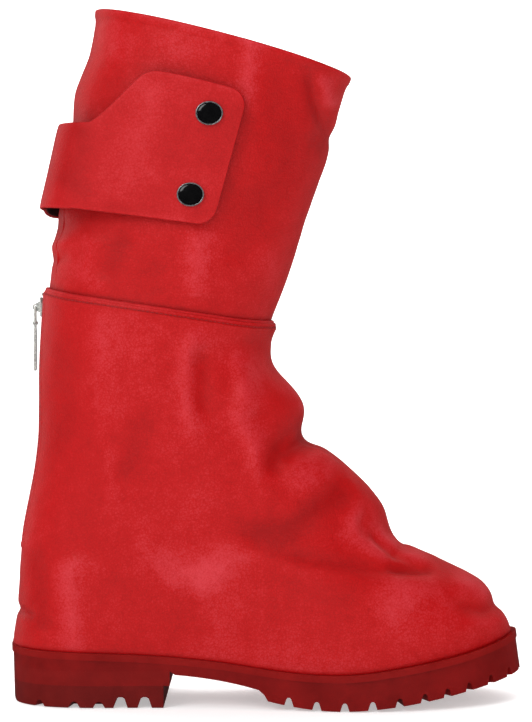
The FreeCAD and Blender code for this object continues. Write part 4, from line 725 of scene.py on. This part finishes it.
def stitches(name, path, normals, pitch, length, radius, material):
    """Separate thread stitches laid along a path."""
    steps = np.linalg.norm(np.diff(path, axis=0), axis=1)
    run = np.concatenate([[0.0], np.cumsum(steps)])
    count = int(run[-1] / pitch)
    points, faces = [], []
    sides, rings = 6, 5
    for k in range(count):
        at = (k + 0.5) * pitch
        middle = np.array([np.interp(at, run, path[:, i]) for i in range(3)])
        ahead = np.array([np.interp(at + 0.4, run, path[:, i]) for i in range(3)])
        out = unit(np.array([np.interp(at, run, normals[:, i]) for i in range(3)]))
        along = unit(ahead - middle)
        side = unit(np.cross(along, out))
        base = len(points)
        for ring in range(rings):
            t = -1 + 2 * ring / (rings - 1)
            thick = radius * math.sqrt(max(1 - (t * 0.94) ** 2, 0.0))
            lift = radius * 0.55 * (1 - t * t)
            for s in range(sides):
                angle = 2 * math.pi * s / sides
                points.append(middle + along * t * length / 2 + out * (lift + thick * math.sin(angle))
                              + side * thick * math.cos(angle))
        for ring in range(rings - 1):
            for s in range(sides):
                n = (s + 1) % sides
                faces.append([base + ring * sides + s, base + ring * sides + n, base + (ring + 1) * sides + n,
                              base + (ring + 1) * sides + s])
        faces.append([base + s for s in reversed(range(sides))])
        faces.append([base + (rings - 1) * sides + s for s in range(sides)])
    return build(name, points, faces, material)


def line_across(grid, values, wanted):
    """The line across a grid's columns where falling values reach wanted."""
    line = []
    for c in range(grid.shape[1]):
        row = np.interp(-wanted, -values[:, c], np.arange(len(values)))
        low = min(int(row), len(values) - 2)
        line.append(grid[low, c] + (grid[low + 1, c] - grid[low, c]) * (row - low))
    return np.array(line)


seam_path = line_across(folded_leg, below_top, 1.9)[3:MAIN - 3]
seam_normals = unit(line_across(leg_normals, below_top, 1.9)[3:MAIN - 3])
place(stitches("leg_top_stitching", seam_path, seam_normals, 2.5, 1.75, 0.28, thread), "boot", "red_leather")
for label, columns in (("medial", range(0, 24)), ("lateral", range(MAIN - 24, MAIN))):
    columns = np.array(list(columns))
    picked = columns[np.argmin(np.abs(slot_distance[:, columns] - 2.4), axis=1)]
    zone = np.arange(slot_row + 1, ROWS - 6)
    place(stitches(f"zip_stitching_{label}", folded_leg[zone, picked[zone]], leg_normals[zone, picked[zone]], 2.6, 1.8,
                   0.26, thread), "boot", "red_leather")

# ---- The shaft ----

OVALS = np.array(SHAFT_OVALS)
seam_back, seam_front = to_shaft(*LEG_TOP_BACK), to_shaft(*LEG_TOP_FRONT)
seam_slope = (seam_front[1] - seam_back[1]) / (seam_front[0] - seam_back[0])


def seam_level(x):
    return seam_back[1] + seam_slope * (x - seam_back[0])


def shaft_point(turn, height, inset=0.0):
    oval = hermite(OVALS[:, 0], OVALS[:, 1:], height)
    back, front, half = oval[..., 0] + inset, oval[..., 1] - inset, oval[..., 2] - inset
    return np.stack([(back + front) / 2 - (front - back) / 2 * np.cos(turn), half * np.sin(turn),
                     np.asarray(height, float) + 0 * turn], -1)


def shaft_top(x):
    return SHAFT_TOP_BACK + (SHAFT_TOP_FRONT - SHAFT_TOP_BACK) / 149.0 * (x + 181.6)


SHAFT_COLUMNS, SHAFT_ROWS = 300, 118
shaft_turns = 2 * math.pi * np.arange(SHAFT_COLUMNS) / SHAFT_COLUMNS
low_x = shaft_point(shaft_turns, np.full(SHAFT_COLUMNS, 200.0))
notch = np.where((np.abs(low_x[:, 1]) < 15.2) & (low_x[:, 0] < -120), seam_back[1] + 1.8, -1e3)
shaft_low = np.maximum(seam_level(low_x[:, 0]) - SHAFT_TUCK, notch)
shaft_high = shaft_top(shaft_point(shaft_turns, np.full(SHAFT_COLUMNS, 353.0))[:, 0])


def shaft_grid(low, high, rows):
    t = np.linspace(0, 1, rows)[:, None]
    heights = low[None, :] + (high - low)[None, :] * t
    plain = shaft_point(shaft_turns[None, :] + 0 * heights, heights)
    world = to_world(plain)
    normals = grid_normals(world)
    over_seam = plain[..., 2] - seam_level(plain[..., 0])
    under_top = shaft_top(plain[..., 0]) - plain[..., 2]
    amount = ease((over_seam + 2) / 9.0)
    folded, pale = fold_leather(world, normals, LATERAL_SHAFT_FOLDS, MEDIAL_SHAFT_FOLDS, 31, amount)
    swell = 0.9 * ease((9.0 - under_top) / 9.0) * np.abs(np.cos(shaft_turns))[None, :] ** 2
    swell = swell + 0.35 * ease((4.4 - under_top) / 0.9) - 0.30 * np.exp(-((under_top - 4.6) / 0.6) ** 2)
    folded = folded + grid_normals(folded) * swell[..., None]
    # Painted light: the folds' painted highlight and shade, painted shade in the hem's sewn channel and a painted
    # highlight along the top edge.
    tone = (np.clip(pale, -1.2, 1.2) - 0.35 * np.exp(-((under_top - 4.6) / 0.6) ** 2)
            + 0.4 * np.exp(-((under_top - 0.2) / 0.9) ** 2))
    # A painted shadow on the shaft along the top of the piping.
    tone = tone - 1.0 * np.exp(-((over_seam - edge_droop(shaft_turns)[None, :] - 1.9) / 1.5) ** 2)
    return folded, grid_normals(folded), tone


def shaft_sheet(name, low, high, rows, inset, thickness, material, rim=1.0):
    folded, normals, tone = shaft_grid(low, high, rows)
    flat = (folded - normals * inset).reshape(-1, 3)
    points, faces, origin, kind = thicken(flat, grid_faces(rows, SHAFT_COLUMNS), normals.reshape(-1, 3), thickness, rim)
    obj = build(name, points, faces, material)
    set_tone(obj, np.where(kind == 0, tone.reshape(-1)[origin], -0.15))
    return obj


place(shaft_sheet("shaft_leather", shaft_low, shaft_high, SHAFT_ROWS, 0.0, LEATHER, red_leather, 0.9), "boot",
      "red_leather", "shaft_lateral", "shaft_medial")
facing_low = np.full(SHAFT_COLUMNS, FACING_BOTTOM)
place(shaft_sheet("top_facing_band", facing_low, shaft_high - 0.7, 34, LEATHER + 0.1, 1.2, facing_leather), "boot",
      "facing_leather", "top_facing")
place(shaft_sheet("shaft_inside_lining", shaft_low + 0.3, facing_low - 0.3, 60, LEATHER + 0.1, LINING, lining_leather),
      "boot", "lining_leather", "shaft_lining")
facing_rows = shaft_grid(facing_low, shaft_high - 0.7, 34)
place(stitches("facing_stitching", (facing_rows[0] - facing_rows[1] * (LEATHER + 1.3))[2], -facing_rows[1][2], 2.8, 2.0,
               0.28, thread), "boot", "facing_leather")

# The piping: a leather cord between leg and shaft, with its ends overlapped
piping_turns = 2 * math.pi * np.arange(260) / 260
piping_core = []
for turn in piping_turns:
    x = -109.0 - 63.9 * math.cos(turn)
    to_front = (0.5 - 0.5 * math.cos(turn)) ** 4
    piping_core.append((x, 42.8 * math.sin(turn), seam_level(x) + 0.6 + edge_droop(turn) + 0.3 * to_front))
piping_core = to_world(np.array(piping_core))


def tube(path, radius, sides=12):
    """Points and faces of a closed round ring along a path; radius is one number or one for each point."""
    count = len(path)
    along = unit(np.roll(path, -1, axis=0) - np.roll(path, 1, axis=0))
    centre = path.mean(0)
    across = unit((path - centre) - ((path - centre) * along).sum(1, keepdims=True) * along)
    other = np.cross(along, across)
    angle = 2 * math.pi * np.arange(sides) / sides
    radius = np.broadcast_to(np.asarray(radius, float), (count,))
    points = (path[:, None] + radius[:, None, None] * (np.cos(angle)[None, :, None] * across[:, None]
                                                       + np.sin(angle)[None, :, None] * other[:, None]))
    faces = []
    for k in range(count):
        n = (k + 1) % count
        for s in range(sides):
            m = (s + 1) % sides
            faces.append([k * sides + s, k * sides + m, n * sides + m, n * sides + s])
    return points.reshape(-1, 3), faces


join_at = np.argmin(np.hypot(piping_core[:, 0] + 28, np.minimum(piping_core[:, 1] + 40, 0))
                    + (piping_core[:, 1] > 0) * 99)
swollen = 1.2 + 0.06 * np.sin(piping_turns * 37) + 0.02 * np.sin(piping_turns * 91)
swollen[join_at - 1:join_at + 3] += 0.16
piping_points, piping_faces = tube(piping_core, swollen)
piping = build("seam_piping_cord", piping_points, piping_faces, piping_leather)
set_tone(piping, np.zeros(len(piping_points)))
place(piping, "boot", "piping_leather", "seam_piping")

# ---- The strap: one leather piece round the shaft, and its black backing ----

path_points = np.array(STRAP_PATH)
path_length = np.concatenate([[0.0], np.cumsum(np.linalg.norm(np.diff(path_points, axis=0), axis=1))])


def tab_top(x):
    shoulder = [(-167.0, 289.6), (-163.0, 293.4), (-158.0, 299.8), (-150.5, 311.4), (-144.5, 320.2), (-140.0, 323.6),
                (-134.5, 324.8), (-120.0, 325.2), (-100.0, 325.0), (-80.0, 323.6)]
    return table(shoulder, np.clip(x, -167.0, -80.0))


def strap_grid(shrink, columns=230, rows=54):
    """The strap's outer face in the shaft frame."""
    total = path_length[-1]
    share = np.concatenate([(1 - np.cos(np.linspace(0, math.pi / 2, 16)))[:-1] * 0.045,
                            np.linspace(0.045, 1 - 0.01, columns - 15 - 5), [0.9935, 0.9965, 0.9985, 0.9996, 1.0]])
    columns = len(share)
    grid = np.zeros((rows, columns, 3))
    for c, part in enumerate(share):
        start = 6.5 + shrink
        at = start + (total - start) * part
        x, y = hermite(path_length, path_points, np.array([at]))[0]
        outside = at < path_length[7]
        if outside and x > -167.0:
            low, high = 243.6 + (x + 160.0) * 0.097, tab_top(np.array([x]))[0]
        else:
            low, high = 240.0 + (x + 184.0) * 0.150, 286.4 + (x + 184.0) * 0.19
            low -= 2.0 * ease((at - path_length[7]) / 30.0)
        low, high = low + shrink, high - shrink
        corner = 9.0 if outside else 4.0
        distance = (at - start) if outside else (total - at)
        if distance < corner:
            inset = corner - math.sqrt(max(corner**2 - (corner - distance) ** 2, 0.0))
            low, high = low + inset, high - inset
        t = np.linspace(0, 1, rows)
        level = low + (high - low) * t
        slant = (2.2 * (316.6 - level) / 58.6 if outside else 0 * level) * max(0.0, 1 - part * 4)
        spot = hermite(path_length, path_points, at + slant)
        wider = STRAP_SPREAD * (level - STRAP_LOW)
        side = np.where(np.abs(spot[:, 1]) > 20, np.sign(spot[:, 1]) * wider, wider * spot[:, 1] / 20)
        grid[:, c] = np.stack([spot[:, 0], spot[:, 1] + side, level], -1)
    return grid


def strap_sheet(name, shrink, inset, thickness, material, tone_edges):
    grid = strap_grid(shrink)
    rows, columns = grid.shape[:2]
    world = to_world(grid)
    normals = grid_normals(world, closed=False)
    outward = world - to_world(np.array(STRAP_CENTRE))
    outward[..., 2] = 0
    if (normals * outward).sum() < 0:
        normals = -normals
        faces = grid_faces(rows, columns, closed=False)[:, ::-1]
    else:
        faces = grid_faces(rows, columns, closed=False)
    row_share = np.linspace(-1, 1, rows)[:, None]
    wave = 0.25 * ripple(world, 38.0, 51) + 0.07 * ripple(world, 12.0, 52)
    edge = np.abs(row_share) ** 12
    world = world + normals * (wave * 0.6 - 0.25 * edge)[..., None]
    normals = unit(normals)
    flat = (world - normals * inset).reshape(-1, 3)
    points, faces, origin, kind = thicken(flat, faces, normals.reshape(-1, 3), thickness, 0.9)
    obj = build(name, points, faces, material)
    # The strap's folds don't move its mesh, which is built by now: they only paint highlight and shade on the leather's
    # near side.
    pressed, fold_paling_and_painted_light = fold_field(world[..., 0], world[..., 2], STRAP_FOLDS)
    near_side = world[..., 1] < 0
    world = world + normals * (pressed * near_side)[..., None]
    tone = (0.20 * ripple(world, 30.0, 53) + tone_edges * np.abs(row_share) ** 20 + fold_paling_and_painted_light * near_side).reshape(-1)
    set_tone(obj, np.where(kind == 0, tone[origin], np.where(kind == 1, -0.9, -0.5)))
    return obj


def bend_at_hinge(obj):
    """Bakes the piece's placement into its mesh."""
    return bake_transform(obj)


strap = strap_sheet("strap_leather_piece", 0.0, 0.0, STRAP_LEATHER, strap_leather, 0.35)
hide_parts("strap_tab", "strap_band")
bend_at_hinge(strap)
backing = strap_sheet("strap_backing", 0.8, STRAP_LEATHER + 0.02, STRAP_LINING, strap_lining, 0.0)
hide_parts("strap_tab_lining", "strap_band_lining")
bend_at_hinge(backing)

# ---- Press studs ----


def lathe(profile, origin, axis, sides=48):
    """Points and faces of a turned piece: profile holds (radius, height along the axis)."""
    axis = unit(np.asarray(axis, float))
    first = unit(np.cross(axis, [0.0, 0.0, 1.0]))
    second = np.cross(axis, first)
    angle = 2 * math.pi * np.arange(sides) / sides
    points, faces = [], []
    for radius, height in profile:
        for a in angle:
            points.append(origin + axis * height + radius * (math.cos(a) * first + math.sin(a) * second))
    for k in range(len(profile) - 1):
        for s in range(sides):
            n = (s + 1) % sides
            faces.append([k * sides + s, (k + 1) * sides + s, (k + 1) * sides + n, k * sides + n])
    faces.append(list(range(sides)))
    faces.append([(len(profile) - 1) * sides + s for s in reversed(range(sides))])
    return points, faces


cap_points, cap_faces, cap_slots = [], [], []
for level in STUD_LEVELS:
    face = np.array([STUD_X, -(48.95 + STRAP_SPREAD * (level - STRAP_LOW)), level])
    origin, out = to_world(face), np.array([0.0, -1.0, 0.0])
    ring = [(6.3, 0.3), (7.2, 0.3), (7.5, 0.55), (7.47, 0.95), (7.25, 1.2), (6.95, 1.26), (6.72, 1.1), (6.65, 0.9)]
    dome = [(6.7, 0.4), (6.7, 0.92), (6.5, 1.2), (5.9, 1.5), (5.0, 1.73), (3.7, 1.92), (2.2, 2.04), (0.9, 2.09),
            (0.05, 2.1)]
    for profile, slot_index in ((ring, 1), (dome, 0)):
        points, faces = lathe(profile, origin, out)
        points = [origin + (point - origin) * (1.0, 1.0, 0.87) for point in points]
        base = len(cap_points)
        cap_points.extend(points)
        cap_faces.extend([[i + base for i in face_] for face_ in faces])
        cap_slots.extend([slot_index] * len(faces))
caps = build("snap_cap_domes", cap_points, cap_faces, [snap_enamel, snap_metal])
caps.data.polygons.foreach_set("material_index", cap_slots)
place(caps, "strap_tab", "snap_enamel", "snap_caps")

# ---- The zip ----


def track_angle(z):
    return math.asin((z - TRACK_CENTRE_Z) / TRACK_R)


def on_track(radius, y, angle):
    """A point by its radius from the centre of the zip's arc, its side and its angle."""
    radius, y, angle = np.broadcast_arrays(np.asarray(radius, float), np.asarray(y, float), np.asarray(angle, float))
    return np.stack([TRACK_CENTRE_X + radius * np.cos(angle), y, TRACK_CENTRE_Z + radius * np.sin(angle)], -1)


def track_sheet(name, radius, across, angles, thickness, material):
    """A closed sheet that follows the zip's arc."""
    grid = on_track(radius, across[None, :], angles[:, None])
    normals = grid_normals(grid, closed=False)
    faces = grid_faces(len(angles), len(across), closed=False)
    if normals[..., 0].mean() > 0:
        normals, faces = -normals, faces[:, ::-1]
    points, faces, _, _ = thicken(grid.reshape(-1, 3), faces, normals.reshape(-1, 3), thickness, 1.0, 1)
    return build(name, points, faces, material)


track_top, track_bottom = track_angle(TRACK_TOP_Z), track_angle(TRACK_BOTTOM_Z)
# The tape from its beaded edge outwards, and how far it sinks under the leather there
TAPE_ACROSS = np.array([1.75, 2.3, 3.0, 3.6, 4.6, 5.6, 6.6, 8.2, 10.0, 11.9])
TAPE_DROP = np.array([0, 0, 0, 0.12, 1.15, 2.25, 3.05, 3.70, 4.40, 5.15])
for label, side in (("lateral", -1), ("medial", 1)):
    angles = np.linspace(track_bottom - 0.004, track_top + 0.004, 150)
    rolled = 0.12 * np.sin(np.linspace(0, 60, 150))[:, None] * (TAPE_ACROSS[None, :] > 4)
    tape = track_sheet(f"zip_woven_tape_{label}", TRACK_R - 0.25 + TAPE_DROP[None, :] + rolled, side * TAPE_ACROSS,
                       angles, 0.5, zip_tape)
    place(tape, "boot", "zip_tape", f"zip_tape_{label}")

tooth_pitch = 2.6 / TRACK_R
tooth_count = int((track_top - track_bottom) / tooth_pitch)
tooth_plan = [(0.52, -0.42), (0.52, 0.42), (1.0, 0.62), (1.5, 0.36), (2.2, 0.50), (3.1, 0.60), (3.1, -0.60),
              (2.2, -0.50), (1.5, -0.36), (1.0, -0.62)]
for label, side, phase in (("lateral", -1, 0.0), ("medial", 1, 0.5)):
    points, faces = [], []
    for k in range(tooth_count):
        angle = track_top - (phase + k) * tooth_pitch - 0.0035
        base = len(points)
        for radius in (TRACK_R - 1.0, TRACK_R - 0.27):
            for y, up in tooth_plan:
                points.append(on_track(radius, side * y, angle + up / TRACK_R))
        n = len(tooth_plan)
        outer = list(range(base, base + n))
        inner = list(range(base + n, base + 2 * n))
        ring = [[outer[i], inner[i], inner[(i + 1) % n], outer[(i + 1) % n]] for i in range(n)]
        faces += [f if side > 0 else f[::-1] for f in ring + [outer, inner[::-1]]]
    teeth = build(f"zip_teeth_row_{label}", points, faces, zip_metal, False)
    modify(teeth, "BEVEL", width=0.16 * MM, segments=2, limit_method="ANGLE", angle_limit=math.radians(50))
    place(teeth, "boot", "zip_metal", f"zip_teeth_{label}")

slider_angle = track_top - (5.5 + 0.2) / TRACK_R
outer_plate, inner_plate = TRACK_R - 1.0 - 0.32 - 1.1, TRACK_R + 0.25 + 0.32


def slider_frame(x, y, up):
    """From the slider's own frame: x is the radius, up runs along the track."""
    c, s = math.cos(slider_angle), math.sin(slider_angle)
    return np.array([TRACK_CENTRE_X + x * c - up * s, y, TRACK_CENTRE_Z + x * s + up * c])


def plate_faces(n):
    """Faces of a plate between two outlines of n points."""
    rim = [[i, (i + 1) % n, n + (i + 1) % n, n + i] for i in range(n)]
    return rim + [list(range(n))[::-1], list(range(n, 2 * n))]


def slab(outline, low, high):
    """A plate from an outline of (side, up) between two radii."""
    return [slider_frame(r, y, up) for r in (low, high) for y, up in outline], plate_faces(len(outline))


def rounded(outline, radius=0.9, steps=5):
    """An outline with its corners rounded."""
    result = []
    count = len(outline)
    for i, corner in enumerate(outline):
        before, after = np.array(outline[i - 1]), np.array(outline[(i + 1) % count])
        corner = np.array(corner)
        a, b = unit(before - corner), unit(after - corner)
        reach = min(radius, np.linalg.norm(before - corner) * 0.45, np.linalg.norm(after - corner) * 0.45)
        for k in range(steps + 1):
            t = k / steps
            result.append(tuple((1 - t) ** 2 * (corner + a * reach) + 2 * t * (1 - t) * corner
                                + t * t * (corner + b * reach)))
    return result


def recalculate(obj, weld=0.0):
    """Makes every face of a closed piece face out. With weld, near points are joined and holes closed first."""
    shape = bmesh.new()
    shape.from_mesh(obj.data)
    if weld:
        bmesh.ops.remove_doubles(shape, verts=shape.verts, dist=weld * MM)
        loose = [e for e in shape.edges if len(e.link_faces) == 1]
        if loose:
            bmesh.ops.holes_fill(shape, edges=loose, sides=0)
    bmesh.ops.recalc_face_normals(shape, faces=shape.faces)
    shape.to_mesh(obj.data)
    shape.free()


def gather(*pieces):
    points, faces = [], []
    for piece_points, piece_faces in pieces:
        base = len(points)
        points.extend(list(piece_points))
        faces.extend([[i + base for i in f] for f in piece_faces])
    return points, faces


shield = rounded([(-3.8, -5.5), (3.8, -5.5), (4.25, -1.5), (4.8, 2.0), (4.4, 4.1), (1.7, 5.5), (-1.7, 5.5), (-4.4, 4.1),
                  (-4.8, 2.0), (-4.25, -1.5)])
under = rounded([(-2.4, -5.5), (2.4, -5.5), (3.2, 1.0), (1.4, 5.5), (-1.4, 5.5), (-3.2, 1.0)])
web = [(-0.34, 1.4), (0.34, 1.4), (0.34, 5.1), (-0.34, 5.1)]
lips = [[(s * 3.8, -5.0), (s * 3.8, 2.0), (s * 4.4, 2.0), (s * 4.15, -5.0)] for s in (-1, 1)]
bar_x = outer_plate - 2.9
bail_rim = rounded([(outer_plate + 0.3, -3.4), (bar_x + 0.4, -2.2), (bar_x - 1.6, -1.1), (bar_x - 1.6, 1.1),
                    (bar_x + 0.4, 2.2), (outer_plate + 0.3, 3.4)], 0.9, 5)
bail_points, bail_faces, rim = [], [], len(bail_rim)
for y in (-0.9, 0.9):
    for x, up in bail_rim:
        bail_points.append(slider_frame(x, y, up))
    for x, up in bail_rim:
        out = unit(np.array([x - bar_x, up]))
        bail_points.append(slider_frame(bar_x + 0.95 * out[0], y, 0.95 * out[1]))
for i in range(rim):
    n = (i + 1) % rim
    for a, b in ((0, rim), (rim, 3 * rim), (3 * rim, 2 * rim), (2 * rim, 0)):
        bail_faces.append([a + i, a + n, b + n, b + i])
slider = build("zip_slider_body", *gather(
    slab(shield, outer_plate, outer_plate + 1.1), slab(under, inner_plate, inner_plate + 1.1),
    slab(web, outer_plate + 0.9, inner_plate + 0.2), *[slab(lip, outer_plate + 0.9, outer_plate + 2.2) for lip in lips],
    (bail_points, bail_faces)), zip_chrome, False)
recalculate(slider)
modify(slider, "BEVEL", width=0.18 * MM, segments=3, limit_method="ANGLE", angle_limit=math.radians(40))
place(slider, "zip_slider", "zip_chrome", "zip_slider")

bar = slider_frame(bar_x, 0.0, 0.0)
link_corners = [(0, 0), (2.2, 0), (2.2, -9.0), (0, -9.0), (-2.2, -9.0), (-2.2, 0)]
link_line = np.array([(bar[0], y, bar[2] + z) for y, z in rounded(link_corners, 0.95, 8)])
link_points, link_faces = tube(link_line, 0.6, 14)
link = build("zip_link_ring", link_points, link_faces, zip_chrome)
recalculate(link)
place(link, "zip_link", "zip_chrome", "zip_link")

pivot = bar - np.array([0, 0, 9.0])
pull_outline = rounded([(-1.35, -0.6), (-1.35, -2.6), (-2.5, -4.6), (-2.5, -25.6), (-1.2, -27.0), (1.2, -27.0),
                        (2.5, -25.6), (2.5, -4.6), (1.35, -2.6), (1.35, -0.6)], 0.8, 4)


def upright(outline, low, high):
    """A flat bar from an outline of (side, up) about the puller's pivot."""
    return [pivot + np.array([x, y, up]) for x in (low, high) for y, up in outline], plate_faces(len(outline))


panel = rounded([(-1.5, -6.4), (-1.5, -24.4), (1.5, -24.4), (1.5, -6.4)], 1.2, 5)
barrel = lathe([(0.9, -1.3), (1.35, -1.3), (1.5, -1.15), (1.5, 1.15), (1.35, 1.3), (0.9, 1.3)], pivot, (0, 1, 0), 28)
puller = build("zip_puller_bar", *gather(upright(pull_outline, -0.65, 0.65), barrel,
                                         upright(panel, -0.82, -0.5)), zip_chrome, False)
recalculate(puller)
modify(puller, "BEVEL", width=0.22 * MM, segments=3, limit_method="ANGLE", angle_limit=math.radians(40))
place(puller, "zip_puller", "zip_chrome", "zip_puller")

# The leather guard behind the zip
GUARD_BEHIND = 5.8
guard_y = np.linspace(-12.0, 12.0, 21)
guard_angles = np.linspace(track_bottom + 0.010, track_top - 0.010, 90)
guard = track_sheet("zip_guard_leather", TRACK_R + GUARD_BEHIND + 0.12 * np.cos(guard_y[None, :] / 3.0), guard_y,
                    guard_angles, 0.8, facing_leather)
place(guard, "boot", "facing_leather", "zip_guard")

# ---- Footbed ----

BED_TOP, BED_BOTTOM, BED_INSET = 6.9, 2.6, 5.2
bed_turns = even_turns(240, STATIONS[2], 0.0, 2 * math.pi)[:-1]
bed_station = station_at(bed_turns, feather(BED_TOP))
bed_edge = leg_point(bed_turns, bed_station)
bed_lower = leg_point(bed_turns, station_at(bed_turns, feather(BED_BOTTOM)))
spine_x = np.clip(bed_edge[:, 0], -112.0, 100.0)
spine = np.stack([spine_x, np.interp(spine_x, [-140, -60, 40, 140], [0, 0, 3.5, 7.5]), bed_edge[:, 2]], -1)
inward = unit((spine - bed_edge) * np.array([1, 1, 0]))
bed_edge, bed_lower = bed_edge + inward * BED_INSET, bed_lower + inward * BED_INSET
bed_rows = [bed_lower, bed_lower * 0.25 + bed_edge * 0.75, bed_edge + inward * 0.5]
for share in np.linspace(0.04, 1.0, 26):
    point = bed_edge + (spine - bed_edge) * share
    point[:, 2] = table(FEATHER_LINE, point[:, 0]) + BED_TOP - 0.9 * ease(share * 4.0)
    bed_rows.append(point)
bed_grid = np.array(bed_rows)
bed_faces = grid_faces(len(bed_rows), len(bed_turns)).tolist()
bed_faces.append(list(range(len(bed_turns))))
footbed = build("footbed_pad", bed_grid.reshape(-1, 3), bed_faces, footbed_leather)
recalculate(footbed, weld=0.02)
place(footbed, "boot", "footbed_leather", "footbed")

# ---- Hard parts that keep their own shape ----

KEPT = {
    "outsole": sole_rubber, "heel_block": heel_rubber, "heel_top_lift": lift_rubber, "welt": welt_rubber,
    "midsole": cork_filler, "shank": spring_steel, "heel_nails": nail_steel, "insole_board": fibre_board,
    "snap_sockets": snap_metal, "snap_studs": snap_metal, "snap_posts": snap_metal,
    "zip_top_stops": zip_metal, "zip_bottom_stop": zip_metal,
}
for name, material in KEPT.items():
    node = nodes[name]
    if not node.data.materials:
        node.data.materials.append(material)
    for material_slot in node.material_slots:
        material_slot.material = material

# ---- Floor, light and camera ----

FLOOR_LEVEL, FLOOR_REACH = -0.3, 2800.0
studio = Finish("studio_white", roughness=0.9, specular_ior_level=0.1)
studio.shader.inputs["Base Color"].default_value = (0.86, 0.86, 0.86, 1)
studio.shader.inputs["Emission Color"].default_value = (1, 1, 1, 1)
outward = studio.node("ShaderNodeVectorMath", {0: studio.coordinate}, operation="LENGTH").outputs["Value"]
studio.use("Emission Strength", studio.node("ShaderNodeMapRange", {
    "Value": outward, "From Min": 0.7, "From Max": 2.4, "To Min": 0.42, "To Max": 1.0}).outputs["Result"])

round_turns = 2 * math.pi * np.arange(96) / 96


def stage_rings(name, profile, closed_disc=False):
    """A round surface of the studio from (radius, level) rows; it isn't part of the boot."""
    points = [(radius * math.cos(a), radius * math.sin(a), level) for radius, level in profile for a in round_turns]
    count = len(round_turns)
    faces = [[k * count + s, k * count + (s + 1) % count, (k + 1) * count + (s + 1) % count, (k + 1) * count + s]
             for k in range(len(profile) - 1) for s in range(count)]
    obj = build(name, points, [list(range(count))] if closed_disc else faces, studio.material)
    obj.visible_glossy = False
    return obj


stage_rings("floor", [(FLOOR_REACH, FLOOR_LEVEL)], closed_disc=True)
# The white surround is only seen: it neither lights the boot nor shades it
surround = stage_rings("surround", [(FLOOR_REACH, FLOOR_LEVEL), (3150.0, 30.0), (3420.0, 190.0), (3580.0, 500.0),
                                    (3650.0, 1000.0), (3700.0, 3200.0)])
surround.visible_diffuse = False
surround.visible_shadow = False
# A curved white board behind the boot only lights it
board_line = [(900 + 500 * math.sin(a), 500 * (1 - math.cos(a)) + 1.0) for a in np.linspace(0, math.pi / 2, 16)]
board_line.append((1400.0, 1800.0))
board = build("light_board", [(x, y, z) for y, z in board_line for x in (-2600, 2600)],
              [[2 * k, 2 * k + 1, 2 * k + 3, 2 * k + 2] for k in range(len(board_line) - 1)], studio.material)
board.visible_glossy = False
board.visible_camera = False

world = bpy.data.worlds.new("studio")
bpy.context.scene.world = world
world.use_nodes = True
sky = world.node_tree.nodes["Background"]
sky.inputs["Color"].default_value = (1.0, 0.99, 0.985, 1)
ray = world.node_tree.nodes.new("ShaderNodeLightPath")
dimmer = world.node_tree.nodes.new("ShaderNodeMapRange")
dimmer.inputs["To Min"].default_value = 0.30
dimmer.inputs["To Max"].default_value = 0.05
world.node_tree.links.new(ray.outputs["Is Glossy Ray"], dimmer.inputs["Value"])
world.node_tree.links.new(dimmer.outputs["Result"], sky.inputs["Strength"])


def soft_light(name, at, towards, width, height, power, gloss=True):
    data = bpy.data.lights.new(name, "AREA")
    data.shape, data.size, data.size_y, data.energy = "RECTANGLE", width, height, power
    lamp = bpy.data.objects.new(name, data)
    lamp.location = at
    lamp.rotation_euler = (Vector(towards) - Vector(at)).to_track_quat("-Z", "Y").to_euler()
    lamp.visible_glossy = gloss
    lamp.visible_camera = False
    bpy.context.scene.collection.objects.link(lamp)


AIM = (0.0, 0.0, 0.18)
soft_light("key", (-1.1, -1.5, 1.5), AIM, 1.0, 1.3, 22.0)
soft_light("front_fill", (0.3, -2.6, 0.7), AIM, 3.0, 2.0, 26.0, gloss=False)
soft_light("overhead", (0.1, 0.1, 2.1), AIM, 2.2, 1.6, 16.0, gloss=False)
soft_light("back_fill", (0.6, 1.15, 1.2), AIM, 1.2, 1.2, 9.0, gloss=False)
soft_light("rim", (-1.3, 0.75, 0.7), AIM, 0.8, 1.4, 4.0)

camera_data = bpy.data.cameras.new("camera")
camera_data.sensor_width = 36.0
camera_data.lens = 105.7
camera_data.shift_y = -0.0242
camera = bpy.data.objects.new("camera", camera_data)
camera.location = (0.0, -1.2, 0.2)
camera.rotation_euler = (math.pi / 2, 0, 0)
bpy.context.scene.collection.objects.link(camera)
bpy.context.scene.camera = camera
bpy.context.scene.view_settings.view_transform = "Standard"
